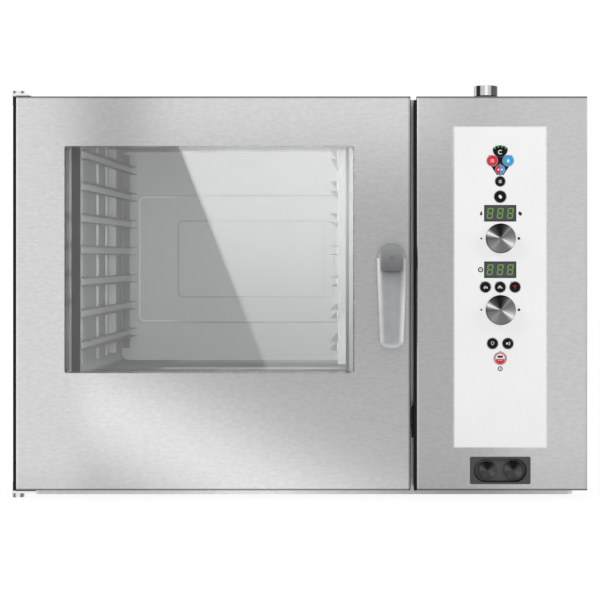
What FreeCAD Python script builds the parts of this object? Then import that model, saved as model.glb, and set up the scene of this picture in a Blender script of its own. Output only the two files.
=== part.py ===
"""Combi steamer oven for a restaurant kitchen, with seven tray levels, a left-hung door and a control panel.

Frame: X to the right, Y from the front to the back, Z up, in millimetres.
The origin is the middle of the flat underside of the plinth.
Every function below returns the solids of one sub-part; the table at the end names and writes them.
"""

import FreeCAD
import Part

import math
import os

Vector = FreeCAD.Vector

# ---------------------------------------------------------------- driving dimensions
SHEET = 1.5                 # stainless sheet of casing, door and panel
BEND = 4.0                  # outer bend radius of the door and panel edges

CASE_WIDTH = 1170.0         # over the two side panels
CASE_DEPTH = 785.0          # front frame to rear panel
CASE_HEIGHT = 807.0         # underside of the base pan to the top cover
PLINTH_HEIGHT = 18.0
PLINTH_INSET_SIDE = 21.0
PLINTH_INSET_REAR = 30.0
PLINTH_WALL = 2.0
PLINTH_CORNER = 16.0
SIDE_LIP = 14.0
LEG_HOLE_R = 5.5            # clearance hole for an M10 stud of a leg or stand
LEG_HOLE_INSET = 60.0       # from the plinth's edges to the hole centres

DOOR_THICKNESS = 64.0
DOOR_GAP = 6.0              # rear of the door to the front frame

PANEL_WIDTH = 350.0         # control panel front
PANEL_GAP = 12.0            # door edge to control panel
EDGE_SEAL = 5.0             # black rubber seal on the panel's edge
SEAL_TOP = 8.0              # seal ends below the top
PAD_Z = 108.0               # cable pad on the seal, above the case underside
PAD_HEIGHT = 61.0
PAD_REACH = 5.0
DOOR_EDGE_TRIM = 6.5        # black rubber profile on the hinge edge of the door

WINDOW_LEFT = 100.0         # from the door's hinge edge
WINDOW_RIGHT = 115.0        # from the door's free edge
WINDOW_BOTTOM = 240.5       # above the case underside
WINDOW_TOP = 102.0          # below the case top
WINDOW_CORNER = 4.0
GLASS = 5.0
OUTER_GLASS_LAP = 12.0      # glass behind the skin round the window
INNER_GLASS_LAP = 15.5
TUNNEL_WALL = 1.2           # polished surround between the two panes
SEAL_INSIDE = (20.5, 19.0)  # left and right glazing seal showing inside the window
TUNNEL_LIPS = (4.0, 12.0)   # surround turned in over the left and right seal
SEAL_OUTSIDE = 5.0
SEAL_DEPTH = 6.0

CAVITY_LEFT_INSULATION = 75.5
CAVITY_FLOOR = 214.0        # above the case underside
TOP_INSULATION = 57.0
REAR_INSULATION = 56.5
CAVITY_CORNER = 20.0
OPENING_MARGIN_LEFT = 21.0
OPENING_MARGIN_Z = 8.0
SHELF_DROP = 60.0           # insulation under the cavity floor
PARTITION_GAP = 30.0        # insulation between cavity and machine compartment
PARTITION_INSET = 21.5      # partition to the left edge of the control panel

EMBOSS = 3.0                # raised panels pressed in the rear wall
EMBOSS_SIDES = (43.0, 72.0)             # left and right cavity wall to the outer panel
EMBOSS_ENDS = (97.0, 111.0)             # cavity floor and roof to the outer panel
EMBOSS_STEP = (103.0, 99.0, 65.0)       # outer to inner panel: left, right, upright
EMBOSS_CORNER = (16.0, 13.0)            # outer and inner panel

LEVEL_PITCH = 68.0
FIRST_LEVEL = 75.0          # lowest runner above the cavity floor
HEAD_ROOM = 48.0            # least height kept above the top runner
RUNNER_HEIGHT = 20.0
RUNNER_LIP = 14.0
RUNNER_WALL = 1.5
RACK_LEFT_GAP = 32.0        # cavity wall to the left runner webs
RACK_RIGHT_GAP = 44.0       # fan guard to the right runner webs
RACK_SETBACK = 68.5         # front frame to the runner ends
RACK_REAR_GAP = 42.0        # runner ends to the rear wall
UPRIGHT_WIDTH = 18.0        # uprights that stand off the wall
BRACE_WIDTH = 5.0           # plain uprights between them
UPRIGHT_THICK = 6.0
UPRIGHT_PLACES = (0.012, 0.66, 0.975)    # shares of the runner length
BRACE_PLACES = (0.305, 0.48)
UPRIGHT_OVERHANG = 40.0     # above the top and below the bottom runner
SPACER_R = 5.0

BAFFLE_STANDOFF = 70.0      # fan guard to the right cavity wall
BAFFLE_MARGIN_Z = 9.0
BAFFLE_CORNER = 12.0
BAFFLE_POSTS = (40.0, 30.0)             # posts from the plate's edges: front to back and upright
BAFFLE_POST_R = 6.0
BAFFLE_NUT = 5.0
BAFFLE_LIP = (22.0, 13.0)               # side lips: depth, distance from the plate's edges
BAFFLE_MARGIN_Y = 26.0
GRILLE_R_IN = 30.0
GRILLE_R_OUT = 132.0
GRILLE_RINGS = 4
GRILLE_SLOTS = 12
GRILLE_BAR = 7.0

FAN_R = 160.0
FAN_DEPTH = 44.0
FAN_BLADES = 24
FAN_SHAFT_R = 8.0
FAN_SHAFT_GAP = 4.0         # round the shaft where it passes the walls
FAN_HUB_R = 22.0
FAN_NUT_R = 13.0
FAN_RING = 30.0             # width of the front ring
BLADE_WIDTH = 42.0
BLADE_INSET = 4.0           # blade tips inside the wheel's rim
BLADE_SWEEP = 25.0          # degrees
HEATER_R = 188.0
HEATER_TUBE_R = 4.25
HEATER_TURNS = 3
HEATER_PITCH = 13.0
HEATER_END_R = 5.5          # cold ends, which join the turns
HEATER_END_OFFSET = 60.0    # from the fan's axis
HEATER_CLAMP = 10.0
MOTOR_R = 62.0
MOTOR_LENGTH = 130.0
MOTOR_SOCKET = 40.0         # bore for the fan shaft
MOTOR_RIBS = 16
MOTOR_RIB = 3.0             # thickness of a rib
MOTOR_RIB_HEIGHT = 6.0
MOTOR_RIB_ENDS = (12.0, 22.0)           # short of the body at the flange and at the end bell
MOTOR_TERMINAL = (60.0, 60.0, 26.0)     # terminal box: length, width, height over the ribs
MOTOR_FLANGE = (14.0, 6.0)  # beyond the body, thickness

GASKET_WIDTH = 14.0
GASKET_OFFSET = 24.0        # from the opening's edge
GASKET_CLEARANCE = 0.3      # to the closed door

HINGE_PLATE = 5.0
HINGE_GAP = 2.0             # plates above and below the door, on spacers
HINGE_PIN_X = 0.5           # from the case side
HINGE_PIN_Y = 22.0          # behind the door's face
HINGE_PIN_R = 5.0
HINGE_BOSS_R = 12.5
HINGE_BOSS_HEIGHT = (5.5, 8.5)          # upper and lower
HINGE_REACH = 60.0          # plate behind the front of the case
HINGE_WIDTH = 20.5          # plate on the case
HINGE_ARM = (28.0, 40.0)    # upper and lower plate over the pin, from the case side
HINGE_STEP = (8.0, 4.0)     # slanted edge beside the case corner, before and behind the front
HINGE_CHAMFER = 3.0
HINGE_FIT = 0.05            # radial running clearance of the pin
HINGE_BLOCK = (28.0, 18.0)  # corner block in the door: width and height

HANDLE_X = 38.5             # hub centre from the door's free edge
HANDLE_Z = 476.0            # hub centre above the case underside
HANDLE_WIDTH = 61.0
HANDLE_TIP_WIDTH = 48.0
HANDLE_DROP = 183.0         # hub centre to the lower end
HANDLE_TIP_ARCH = 9.0       # rise of the rounded lower end
HANDLE_TIP_CORNER = 13.0
HANDLE_THICK = 17.0
HANDLE_STANDOFF = 31.0      # door face to the back of the lever
HANDLE_HUB_R = 21.0
HANDLE_EDGE_R = 4.0
HANDLE_RIM = 7.0            # raised rim on each side of the dish
HANDLE_SCOOP = 8.0          # depth of the dish behind the rims
HANDLE_LEDGE = 26.0         # hub centre to the upper end of the dish
HANDLE_TIP_RIM = 11.0       # rim below the dish
HEAD_R = 27.5               # round head over the hub
HEAD_STEP = 2.5             # face of the head behind the rims
HEAD_EDGE_R = 5.0
HEAD_GROOVE = (7.4, 8.2, 0.4)           # ring in the face: inner and outer radius, depth
HEAD_DIMPLE = (1.4, 3.2, 1.2)           # centre: pin and dimple radius, depth
SPINDLE_R = 6.0
SPINDLE_FIT = 0.05
LATCH_REACH = 20.0          # tongue length from the spindle axis
LATCH_WIDTH = 12.0
LATCH_THICK = 9.0
LATCH_DEPTH = 20.0          # tongue behind the door's rear face
LATCH_SLOT = (48.0, 80.0)
LATCH_BOX_DEPTH = 21.0
ROLLER_R = 6.0
ROLLER_LENGTH = 14.0
ROLLER_CLEARANCE = 0.5

MEMBRANE_WIDTH = 187.5
MEMBRANE_TOP = 63.0         # below the case top
MEMBRANE_SHIFT = 3.5        # left of the panel's middle
MEMBRANE_BOTTOM = 89.0      # above the case underside
MEMBRANE_THICK = 1.5
MEMBRANE_CORNER = 1.5
RECESS_DEPTH = 2.5
RECESS_MARGIN = 3.5
RECESS_CORNER = 4.0
DISPLAY_SIZE = (66.0, 34.0)
DISPLAY_DROP = (176.5, 292.0)   # display centres below the overlay's top edge
KNOB_R = 30.4
KNOB_HEIGHT = 21.0
KNOB_DROP = (228.0, 374.0)  # knob centres below the overlay's top edge
KNOB_LIFT = 3.0             # knob skirt above the membrane
KNOB_END_GAP = 1.5          # knob shaft to the end of the encoder's bore
KNOB_EDGE_R = 3.0
KNOB_DISH_R = 140.0
ENCODER_SHAFT_R = 3.0
ENCODER_FIT = 0.05
ENCODER_SIZE = 14.0
BOARD_SETBACK = 20.0        # board behind the panel's face
BOARD_THICK = 1.6
KEY_TRAVEL = 0.8
KEY_LIFT = 1.2              # key top above the membrane
KEY_FIT = 0.5               # gap round each key
KEY_STEM_R = 2.0
KEY_CLEAR = 0.3             # between a key or knob and fixed pieces at the ends of travel
SWITCH_HEIGHT = 6.0
BOARD_MARGIN = 12.0         # board inside the overlay's edge
# name, x from the overlay's middle, distance below the overlay's top edge, radius
ROUND_KEYS = (
    ("key_convection", -16.3, 69.0, 10.4),
    ("key_steam", 16.3, 69.0, 10.4),
    ("key_humidity", 0.0, 111.2, 9.8),
    ("key_fan_speed", 0.0, 142.5, 11.8),
    ("key_timer", -30.3, 327.5, 10.6),
    ("key_phase", 0.0, 327.5, 10.6),
    ("key_core_probe", 30.3, 327.5, 10.6),
    ("key_light", -15.7, 442.9, 10.6),
    ("key_cool_down", 15.7, 442.9, 10.6),
    ("key_start_stop", 0.0, 473.4, 12.2),
)
FAN_KEY_DROP = 49.5         # fan-shaped key at the top of the mode cluster
FAN_KEY_WIDTH = 29.0
FAN_KEY_HEIGHT = 23.0
FAN_KEY_ARCH = 5.5          # rise of its flat upper arc
FAN_KEY_CORNER = 3.0
FOOT_KEY_DROP = 87.5        # two-coloured key at the foot of the mode cluster
FOOT_KEY_R = 9.0

SERVICE_SIZE = (124.0, 56.0)
SERVICE_Z = 41.5            # centre above the case underside
SERVICE_CORNER = 3.5
SERVICE_PROUD = 2.0
SERVICE_POCKET = (108.0, 48.0)
SERVICE_POCKET_DEPTH = 8.0
SERVICE_DEPTH = 30.0
SERVICE_LAP = 2.0
CAP_SPACING = 53.0
CAP_R = 19.0
CAP_HEIGHT = 9.0
CAP_STEM_R = 11.0
CAP_STEM = 9.0
CAP_FIT = 0.4
LUGS = 4

VENT_INSET = 180.0          # from the right side of the case
VENT_SETBACK = 380.0        # from the front of the case
VENT_R = 22.0
VENT_WALL = 1.5
VENT_FLANGE_R = 36.0
VENT_TAIL = 90.0            # pipe below the case top
COLLAR_R = 25.5
COLLAR_BAND = (16.0, 47.5)  # from and to, above the top cover
CAP_TUBE_R = 27.6
CAP_TUBE_HEIGHT = 23.5
CAP_TUBE_EDGE_R = 2.0

FITTING_REACH = 40.0        # rear connections behind the rear panel
PLATE_RIM = 8.0             # connection plates, beyond the widest fitting
PLATE_LAP = 8.0             # their stepped edge behind the rear panel
PLATE_FIT = 0.3             # round the plates in their windows
VALVE_INSETS = (185.0, 115.0)   # from the right side of the case
VALVE_Z = 80.0
VALVE_PORT_R = 13.2         # 3/4 inch pipe thread, over the crests
VALVE_PORT_LENGTH = 14.0
VALVE_BORE_R = 9.2
VALVE_NECK_R = 11.8
VALVE_NECK = 2.0            # plain neck behind the thread, outside the rear panel
VALVE_HOLE_FIT = 0.5        # hole in the panel round the thread
VALVE_BODY_R = 18.0
VALVE_LENGTH = 44.0
VALVE_BORE_DEPTH = 28.5
COIL_SIZE = (30.0, 28.0, 34.0)          # across, front to back, height above the valve body
DRAIN_Z = 55.0
DRAIN_R = 20.0              # hose spigot
DRAIN_TUBE_R = 19.0
DRAIN_WALL = 1.5
DRAIN_NECK = 3.0            # tube between the rear panel and the spigot
DRAIN_ELBOW = 32.0          # elbow, from its corner to its two ends
STRAINER_THICK = 2.0
STRAINER_HOLES = (8, 3.0)   # count and radius
STRAINER_LAP = 14.0
GLAND_INSET = 55.0          # from the right side of the case
GLAND_Z = 80.0
GLAND_BORE_R = 10.0
GLAND_BODY_R = 13.0
GLAND_NUT_R = 20.0
GLAND_CAP_R = 18.0
GLAND_NUTS = (6.0, 8.0)     # thickness inside and outside
GLAND_CAP = (12.0, 28.0)    # cap nut, from and to, outside
GLAND_ENDS = (12.0, 26.0)   # body beyond the panel, inside and outside
LOUVRES = 12
LOUVRE_SIZE = (150.0, 5.0)
LOUVRE_PITCH = 16.0
LOUVRE_DROP = 300.0         # lowest louvre, below the case top

SCREW_R = 5.0
SCREW_HEAD = 2.5
SCREW_EDGE_R = 1.2
SCREW_SHANK_R = 2.4
SCREW_INSET = 12.0

# ---------------------------------------------------------------- derived places
CASE_LEFT = -CASE_WIDTH / 2
CASE_RIGHT = CASE_WIDTH / 2
CASE_FRONT = -CASE_DEPTH / 2
CASE_REAR = CASE_DEPTH / 2
CASE_BOTTOM = PLINTH_HEIGHT
CASE_TOP = CASE_BOTTOM + CASE_HEIGHT

FACE_Y = CASE_FRONT - DOOR_GAP - DOOR_THICKNESS     # face of the door and of the control panel
DOOR_REAR = CASE_FRONT - DOOR_GAP
DOOR_LEFT = CASE_LEFT
DOOR_BOTTOM = CASE_BOTTOM
DOOR_TOP = CASE_TOP
PANEL_LEFT = CASE_RIGHT - PANEL_WIDTH
DOOR_RIGHT = PANEL_LEFT - PANEL_GAP

WINDOW = (DOOR_LEFT + WINDOW_LEFT, DOOR_RIGHT - WINDOW_RIGHT,
          CASE_BOTTOM + WINDOW_BOTTOM, CASE_TOP - WINDOW_TOP)
GLASS_FRONT = FACE_Y + SHEET
INNER_GLASS_FRONT = DOOR_REAR - GLASS
SEAL_FRONT = INNER_GLASS_FRONT - SEAL_DEPTH

CAVITY_LEFT = CASE_LEFT + SHEET + CAVITY_LEFT_INSULATION
PARTITION_X = PANEL_LEFT - PARTITION_INSET
CAVITY_RIGHT = PARTITION_X - PARTITION_GAP - SHEET
CAVITY_BOTTOM = CASE_BOTTOM + CAVITY_FLOOR
CAVITY_TOP = CASE_TOP - 2 * SHEET - TOP_INSULATION
CAVITY_FRONT = CASE_FRONT + SHEET
CAVITY_REAR = CASE_REAR - 2 * SHEET - REAR_INSULATION
BAFFLE_X = CAVITY_RIGHT - BAFFLE_STANDOFF
OPENING = (CAVITY_LEFT + OPENING_MARGIN_LEFT, BAFFLE_X - SHEET,
           CAVITY_BOTTOM + OPENING_MARGIN_Z, CAVITY_TOP - OPENING_MARGIN_Z)
SHELF_Z = CAVITY_BOTTOM - SHEET - SHELF_DROP

FAN_Y = (CAVITY_FRONT + CAVITY_REAR) / 2
FAN_Z = (CAVITY_BOTTOM + CAVITY_TOP) / 2
FAN_X = BAFFLE_X + SHEET + (BAFFLE_STANDOFF - SHEET - FAN_DEPTH) / 2

PIN_X = CASE_LEFT + HINGE_PIN_X
PIN_Y = FACE_Y + HINGE_PIN_Y

HUB_X = DOOR_RIGHT - HANDLE_X
HUB_Z = CASE_BOTTOM + HANDLE_Z
LATCH_END = DOOR_REAR + LATCH_DEPTH
POCKET = (HUB_X - LATCH_SLOT[0] / 2, HUB_X + LATCH_SLOT[0] / 2,
          HUB_Z - LATCH_SLOT[1] / 2, HUB_Z + LATCH_SLOT[1] / 2)

LEFT_WEB = CAVITY_LEFT + RACK_LEFT_GAP
RIGHT_WEB = BAFFLE_X - RACK_RIGHT_GAP
RUNNER_FRONT = CASE_FRONT + RACK_SETBACK
RUNNER_REAR = CAVITY_REAR - RACK_REAR_GAP
LEVELS = 1 + math.floor((CAVITY_TOP - CAVITY_BOTTOM - FIRST_LEVEL - HEAD_ROOM) / LEVEL_PITCH)

DRAIN_X = (OPENING[0] + OPENING[1]) / 2
DRAIN_Y = FAN_Y
VALVE_X = tuple(CASE_RIGHT - inset for inset in VALVE_INSETS)
GLAND_X = CASE_RIGHT - GLAND_INSET
# holes of the two connection plates: x, z, hole radius, fitting radius
SUPPLY_PORTS = [(x, CASE_BOTTOM + VALVE_Z, VALVE_PORT_R + VALVE_HOLE_FIT, VALVE_BODY_R) for x in VALVE_X]
SUPPLY_PORTS.append((GLAND_X, CASE_BOTTOM + GLAND_Z, GLAND_BODY_R, GLAND_NUT_R))
DRAIN_PORTS = [(DRAIN_X, CASE_BOTTOM + DRAIN_Z, DRAIN_TUBE_R, DRAIN_R)]
VENT_X = CASE_RIGHT - VENT_INSET
VENT_Y = CASE_FRONT + VENT_SETBACK

MEMBRANE_X = (PANEL_LEFT + CASE_RIGHT) / 2 - MEMBRANE_SHIFT
MEMBRANE_LOW = CASE_BOTTOM + MEMBRANE_BOTTOM
MEMBRANE_HIGH = CASE_TOP - MEMBRANE_TOP
KNOB_Z = tuple(MEMBRANE_HIGH - drop for drop in KNOB_DROP)
DISPLAY_Z = tuple(MEMBRANE_HIGH - drop for drop in DISPLAY_DROP)
FAN_KEY_Z = MEMBRANE_HIGH - FAN_KEY_DROP
MEMBRANE_Y = FACE_Y + RECESS_DEPTH - MEMBRANE_THICK    # face of the membrane
RECESS_Y = FACE_Y + RECESS_DEPTH                       # floor of the recess, front side
RECESS_BACK = RECESS_Y + SHEET
BOARD_Y = FACE_Y + BOARD_SETBACK
KEY_FACE = MEMBRANE_Y - KEY_LIFT
KEY_REST = RECESS_Y - KEY_TRAVEL - KEY_CLEAR          # back of a key cap at rest
SWITCH_Y = BOARD_Y - SWITCH_HEIGHT


SCREW_PLACES = []
for share in (0.0, 0.25, 0.5, 0.75, 1.0):
    screw_x = CASE_LEFT + SCREW_INSET + share * (CASE_WIDTH - 2 * SCREW_INSET)
    SCREW_PLACES.append((screw_x, CASE_BOTTOM + SCREW_INSET))
    SCREW_PLACES.append((screw_x, CASE_TOP - SHEET - SCREW_INSET))
for share in (0.33, 0.67):
    screw_z = CASE_BOTTOM + share * CASE_HEIGHT
    SCREW_PLACES.append((CASE_LEFT + SCREW_INSET, screw_z))
    SCREW_PLACES.append((CASE_RIGHT - SCREW_INSET, screw_z))


# ---------------------------------------------------------------- shape helpers
def box(x0, x1, y0, y1, z0, z1):
    return Part.makeBox(x1 - x0, y1 - y0, z1 - z0, Vector(x0, y0, z0))


def cyl_x(x0, x1, y, z, r):
    return Part.makeCylinder(r, x1 - x0, Vector(x0, y, z), Vector(1, 0, 0))


def cyl_y(x, z, r, y0, y1):
    return Part.makeCylinder(r, y1 - y0, Vector(x, y0, z), Vector(0, 1, 0))


def cyl_z(x, y, r, z0, z1):
    return Part.makeCylinder(r, z1 - z0, Vector(x, y, z0), Vector(0, 0, 1))


def fillet_along(shape, radius, axis, keep=lambda edge: True):
    """Rounds the straight edges of a shape that run along one axis (0 X, 1 Y, 2 Z)."""
    edges = []
    for edge in shape.Edges:
        if edge.Curve.TypeId != "Part::GeomLine":
            continue
        run = edge.tangentAt(edge.FirstParameter)
        if abs(run[axis]) > 0.999 and keep(edge):
            edges.append(edge)
    return shape.makeFillet(radius, edges) if edges else shape


def block_y(x0, x1, y0, y1, z0, z1, corner):
    """A block with its four corners rounded as seen from the front."""
    return fillet_along(box(x0, x1, y0, y1, z0, z1), corner, 1)


def outline_y(edges, y0, y1):
    """Extrudes a closed outline drawn in the plane y = y0 back to y1."""
    face = Part.Face(Part.Wire(edges))
    return face.extrude(Vector(0, y1 - y0, 0))


def line(a, b):
    return Part.LineSegment(Vector(*a), Vector(*b)).toShape()


def arc(a, b, c):
    return Part.Arc(Vector(*a), Vector(*b), Vector(*c)).toShape()


def front_edges(y):
    """Picks edges that lie in the plane at y."""
    def chosen(edge):
        return all(abs(v.Point.y - y) < 1e-6 for v in edge.Vertexes)
    return chosen


def soft_front(shape, radius, y):
    """Rounds every edge of the outline in the plane at y."""
    chosen = front_edges(y)
    return shape.makeFillet(radius, [e for e in shape.Edges if chosen(e)])


def folded_front(x0, x1, y0, y1, z0, z1):
    """A sheet pan: a face at y0 with side flanges back to y1, its front edges bent round."""
    outer = soft_front(box(x0, x1, y0, y1, z0, z1), BEND, y0)
    inner = box(x0 + SHEET, x1 - SHEET, y0 + SHEET, y1 + 1, z0 + SHEET, z1 - SHEET)
    inner = soft_front(inner, BEND - SHEET, y0 + SHEET)
    return outer.cut(inner)


def fuse(shapes):
    whole = shapes[0]
    for shape in shapes[1:]:
        whole = whole.fuse(shape)
    return whole.removeSplitter()


def turned_x(shape, angle, y, z):
    """A copy turned about the line through y, z that runs along X."""
    copy = shape.copy()
    copy.rotate(Vector(0, y, z), Vector(1, 0, 0), angle)
    return copy


# ---------------------------------------------------------------- casing
def base():
    """Base pan with its plinth ring, bottom plate and four leg holes."""
    x0, x1 = CASE_LEFT + PLINTH_INSET_SIDE, CASE_RIGHT - PLINTH_INSET_SIDE
    y0, y1 = CASE_FRONT, CASE_REAR - PLINTH_INSET_REAR
    plinth = fillet_along(box(x0, x1, y0, y1, 0, PLINTH_HEIGHT), PLINTH_CORNER, 2)
    room = box(x0 + PLINTH_WALL, x1 - PLINTH_WALL, y0 + PLINTH_WALL, y1 - PLINTH_WALL,
               PLINTH_WALL, PLINTH_HEIGHT)
    pan = box(CASE_LEFT + SHEET, CASE_RIGHT - SHEET, CASE_FRONT + SHEET, CASE_REAR - SHEET,
              CASE_BOTTOM, CASE_BOTTOM + SHEET)
    whole = fuse([plinth.cut(room), pan])
    for x in (x0 + LEG_HOLE_INSET, x1 - LEG_HOLE_INSET):
        for y in (y0 + LEG_HOLE_INSET, y1 - LEG_HOLE_INSET):
            boss = cyl_z(x, y, LEG_HOLE_R + 5, PLINTH_WALL, PLINTH_HEIGHT)
            whole = fuse([whole, boss]).cut(cyl_z(x, y, LEG_HOLE_R, -1, CASE_BOTTOM + 2))
    return [whole]


def side_panel(outside, way, front):
    """A side panel with lips turned in at its top and bottom; way points into the case."""
    def strip(depth, y0, y1, z0, z1):
        other = outside + way * depth
        return box(min(outside, other), max(outside, other), y0, y1, z0, z1)
    wall = strip(SHEET, front, CASE_REAR, CASE_BOTTOM, CASE_TOP - SHEET)
    lips = [strip(SIDE_LIP, CASE_FRONT + SHEET, CASE_REAR - SHEET, z0, z0 + SHEET)
            for z0 in (CASE_BOTTOM + SHEET, CASE_TOP - 2 * SHEET)]
    return [fuse([wall] + lips)]


def left_side_panel():
    return side_panel(CASE_LEFT, 1, CASE_FRONT + SHEET)


def right_side_panel():
    return side_panel(CASE_RIGHT, -1, CASE_FRONT)


def plate_window(ports):
    """Window in the rear panel round a group of ports (x, z, hole radius, fitting radius)."""
    return (min(x - fitting for x, z, hole, fitting in ports) - PLATE_RIM,
            max(x + fitting for x, z, hole, fitting in ports) + PLATE_RIM,
            min(z - fitting for x, z, hole, fitting in ports) - PLATE_RIM,
            max(z + fitting for x, z, hole, fitting in ports) + PLATE_RIM)


def connection_plate(ports):
    """Plate flush in its window, with a hole for each port and its edge stepped behind the panel."""
    window = plate_window(ports)
    x0, x1, z0, z1 = grown(window, -PLATE_FIT)
    face = box(x0, x1, CASE_REAR - SHEET, CASE_REAR, z0, z1)
    lap = frame_ring(grown(window, PLATE_LAP), grown(window, -PLATE_FIT - SHEET),
                     CASE_REAR - 2 * SHEET, CASE_REAR - SHEET, PLATE_LAP)
    plate = fuse([face, lap])
    for x, z, hole, fitting in ports:
        plate = plate.cut(cyl_y(x, z, hole, CASE_REAR - 9, CASE_REAR + 9))
    return plate


def rear_panel():
    """Rear panel with louvres for the machine compartment and two flush plates for the connections."""
    x0, x1 = CASE_LEFT + SHEET, CASE_RIGHT - SHEET
    panel = box(x0, x1, CASE_REAR - SHEET, CASE_REAR, CASE_BOTTOM, CASE_TOP - SHEET)
    width, height = LOUVRE_SIZE
    middle = (PARTITION_X + CASE_RIGHT) / 2
    for row in range(LOUVRES):
        z = CASE_TOP - LOUVRE_DROP + row * LOUVRE_PITCH
        panel = panel.cut(block_y(middle - width / 2, middle + width / 2, CASE_REAR - 2 * SHEET,
                                  CASE_REAR + SHEET, z, z + height, height / 2 - 0.1))
    plates = []
    for ports in (SUPPLY_PORTS, DRAIN_PORTS):
        wx0, wx1, wz0, wz1 = plate_window(ports)
        panel = panel.cut(box(wx0, wx1, CASE_REAR - 2 * SHEET, CASE_REAR + SHEET, wz0, wz1))
        plates.append(connection_plate(ports))
    for x, z in SCREW_PLACES:
        panel = panel.cut(cyl_y(x, z, SCREW_SHANK_R, CASE_REAR - 9, CASE_REAR + 9))
    return [panel] + plates


def top_cover():
    """Top cover with its vent hole; it laps the side panels and the rear panel."""
    cover = box(CASE_LEFT, CASE_RIGHT, CASE_FRONT, CASE_REAR, CASE_TOP - SHEET, CASE_TOP)
    cover = fillet_along(cover, SHEET * 2, 2)
    return [cover.cut(cyl_z(VENT_X, VENT_Y, VENT_R, CASE_TOP - 9, CASE_TOP + 9))]


def front_frame():
    """Front of the case round the cavity mouth, with the slot for the latch."""
    frame = box(CASE_LEFT, PANEL_LEFT, CASE_FRONT, CASE_FRONT + SHEET, CASE_BOTTOM, CASE_TOP - SHEET)
    x0, x1, z0, z1 = OPENING
    mouth = block_y(x0, x1, CASE_FRONT - 1, CASE_FRONT + SHEET + 1, z0, z1, CAVITY_CORNER - SHEET)
    px0, px1, pz0, pz1 = POCKET
    slot = block_y(px0, px1, CASE_FRONT - 1, CASE_FRONT + SHEET + 1, pz0, pz1, 6)
    return [frame.cut(mouth).cut(slot)]


def inner_frame():
    """Partition to the machine compartment and the shelf that carries the insulated cavity."""
    y0, y1 = CASE_FRONT + SHEET, CASE_REAR - SHEET
    wall = box(PARTITION_X, PARTITION_X + SHEET, y0, y1, CASE_BOTTOM + SHEET, CASE_TOP - SHEET)
    shelf = box(CASE_LEFT + SHEET, PARTITION_X, y0, y1, SHELF_Z - SHEET, SHELF_Z)
    frame = fuse([wall, shelf])
    frame = frame.cut(cyl_z(DRAIN_X, DRAIN_Y, DRAIN_TUBE_R, SHELF_Z - 9, SHELF_Z + 1))
    return [frame.cut(cyl_x(PARTITION_X - 5, PARTITION_X + 9, FAN_Y, FAN_Z, FAN_SHAFT_R + FAN_SHAFT_GAP))]


# ---------------------------------------------------------------- cavity
def cavity_block(grow):
    """The cavity's volume, grown by a wall, with rounded long corners and rear corners."""
    block = box(CAVITY_LEFT - grow, CAVITY_RIGHT + grow, CAVITY_FRONT, CAVITY_REAR + grow,
                CAVITY_BOTTOM - grow, CAVITY_TOP + grow)
    block = fillet_along(block, CAVITY_CORNER + grow, 1)
    return block


def embossed_panel(inset, rear, corner):
    """One raised rear-wall panel: a rounded plate whose front edge is softened."""
    left, right, upright = inset
    x0, x1 = CAVITY_LEFT + EMBOSS_SIDES[0] + left, CAVITY_RIGHT - EMBOSS_SIDES[1] - right
    z0, z1 = CAVITY_BOTTOM + EMBOSS_ENDS[0] + upright, CAVITY_TOP - EMBOSS_ENDS[1] - upright
    plate = block_y(x0, x1, rear - EMBOSS, rear, z0, z1, corner)
    return soft_front(plate, EMBOSS * 0.6, rear - EMBOSS)


def cavity_liner():
    """Welded cavity: five walls with round corners, a pressed rear wall and the latch pocket."""
    liner = cavity_block(SHEET).cut(cavity_block(0))
    outer = embossed_panel((0, 0, 0), CAVITY_REAR, EMBOSS_CORNER[0])
    inner = embossed_panel(EMBOSS_STEP, CAVITY_REAR - EMBOSS, EMBOSS_CORNER[1])
    liner = fuse([liner, outer, inner])
    px0, px1, pz0, pz1 = grown(POCKET, SHEET)
    liner = fuse([liner, box(px0, px1, CAVITY_FRONT, CAVITY_FRONT + LATCH_BOX_DEPTH, pz0, pz1)])
    px0, px1, pz0, pz1 = POCKET
    liner = liner.cut(box(px0, px1, CAVITY_FRONT - 1, CAVITY_FRONT + LATCH_BOX_DEPTH - SHEET, pz0, pz1))
    shaft_hole = cyl_x(CAVITY_RIGHT - 5, CAVITY_RIGHT + 9, FAN_Y, FAN_Z, FAN_SHAFT_R + FAN_SHAFT_GAP)
    drain = cyl_z(DRAIN_X, DRAIN_Y, DRAIN_TUBE_R, CAVITY_BOTTOM - 9, CAVITY_BOTTOM + 1)
    return [liner.cut(shaft_hole).cut(drain)]


def insulation():
    """Mineral wool between the cavity and the casing, cut round the latch pocket."""
    wool = box(CASE_LEFT + SHEET, PARTITION_X, CASE_FRONT + SHEET, CASE_REAR - SHEET,
               SHELF_Z, CASE_TOP - 2 * SHEET)
    wool = wool.cut(cavity_block(SHEET))
    px0, px1, pz0, pz1 = grown(POCKET, SHEET)
    pocket = box(px0, px1, CASE_FRONT, CAVITY_FRONT + LATCH_BOX_DEPTH, pz0, pz1)
    shaft_hole = cyl_x(CAVITY_RIGHT, PARTITION_X + 9, FAN_Y, FAN_Z, FAN_SHAFT_R + FAN_SHAFT_GAP)
    drain = cyl_z(DRAIN_X, DRAIN_Y, DRAIN_TUBE_R, SHELF_Z - 9, CAVITY_BOTTOM)
    lips = box(CASE_LEFT, CASE_LEFT + SIDE_LIP, CASE_FRONT, CASE_REAR, CASE_TOP - 2 * SHEET, CASE_TOP)
    return [wool.cut(pocket).cut(shaft_hole).cut(drain).cut(lips)]


def level_z(level):
    return CAVITY_BOTTOM + FIRST_LEVEL + level * LEVEL_PITCH


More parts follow.
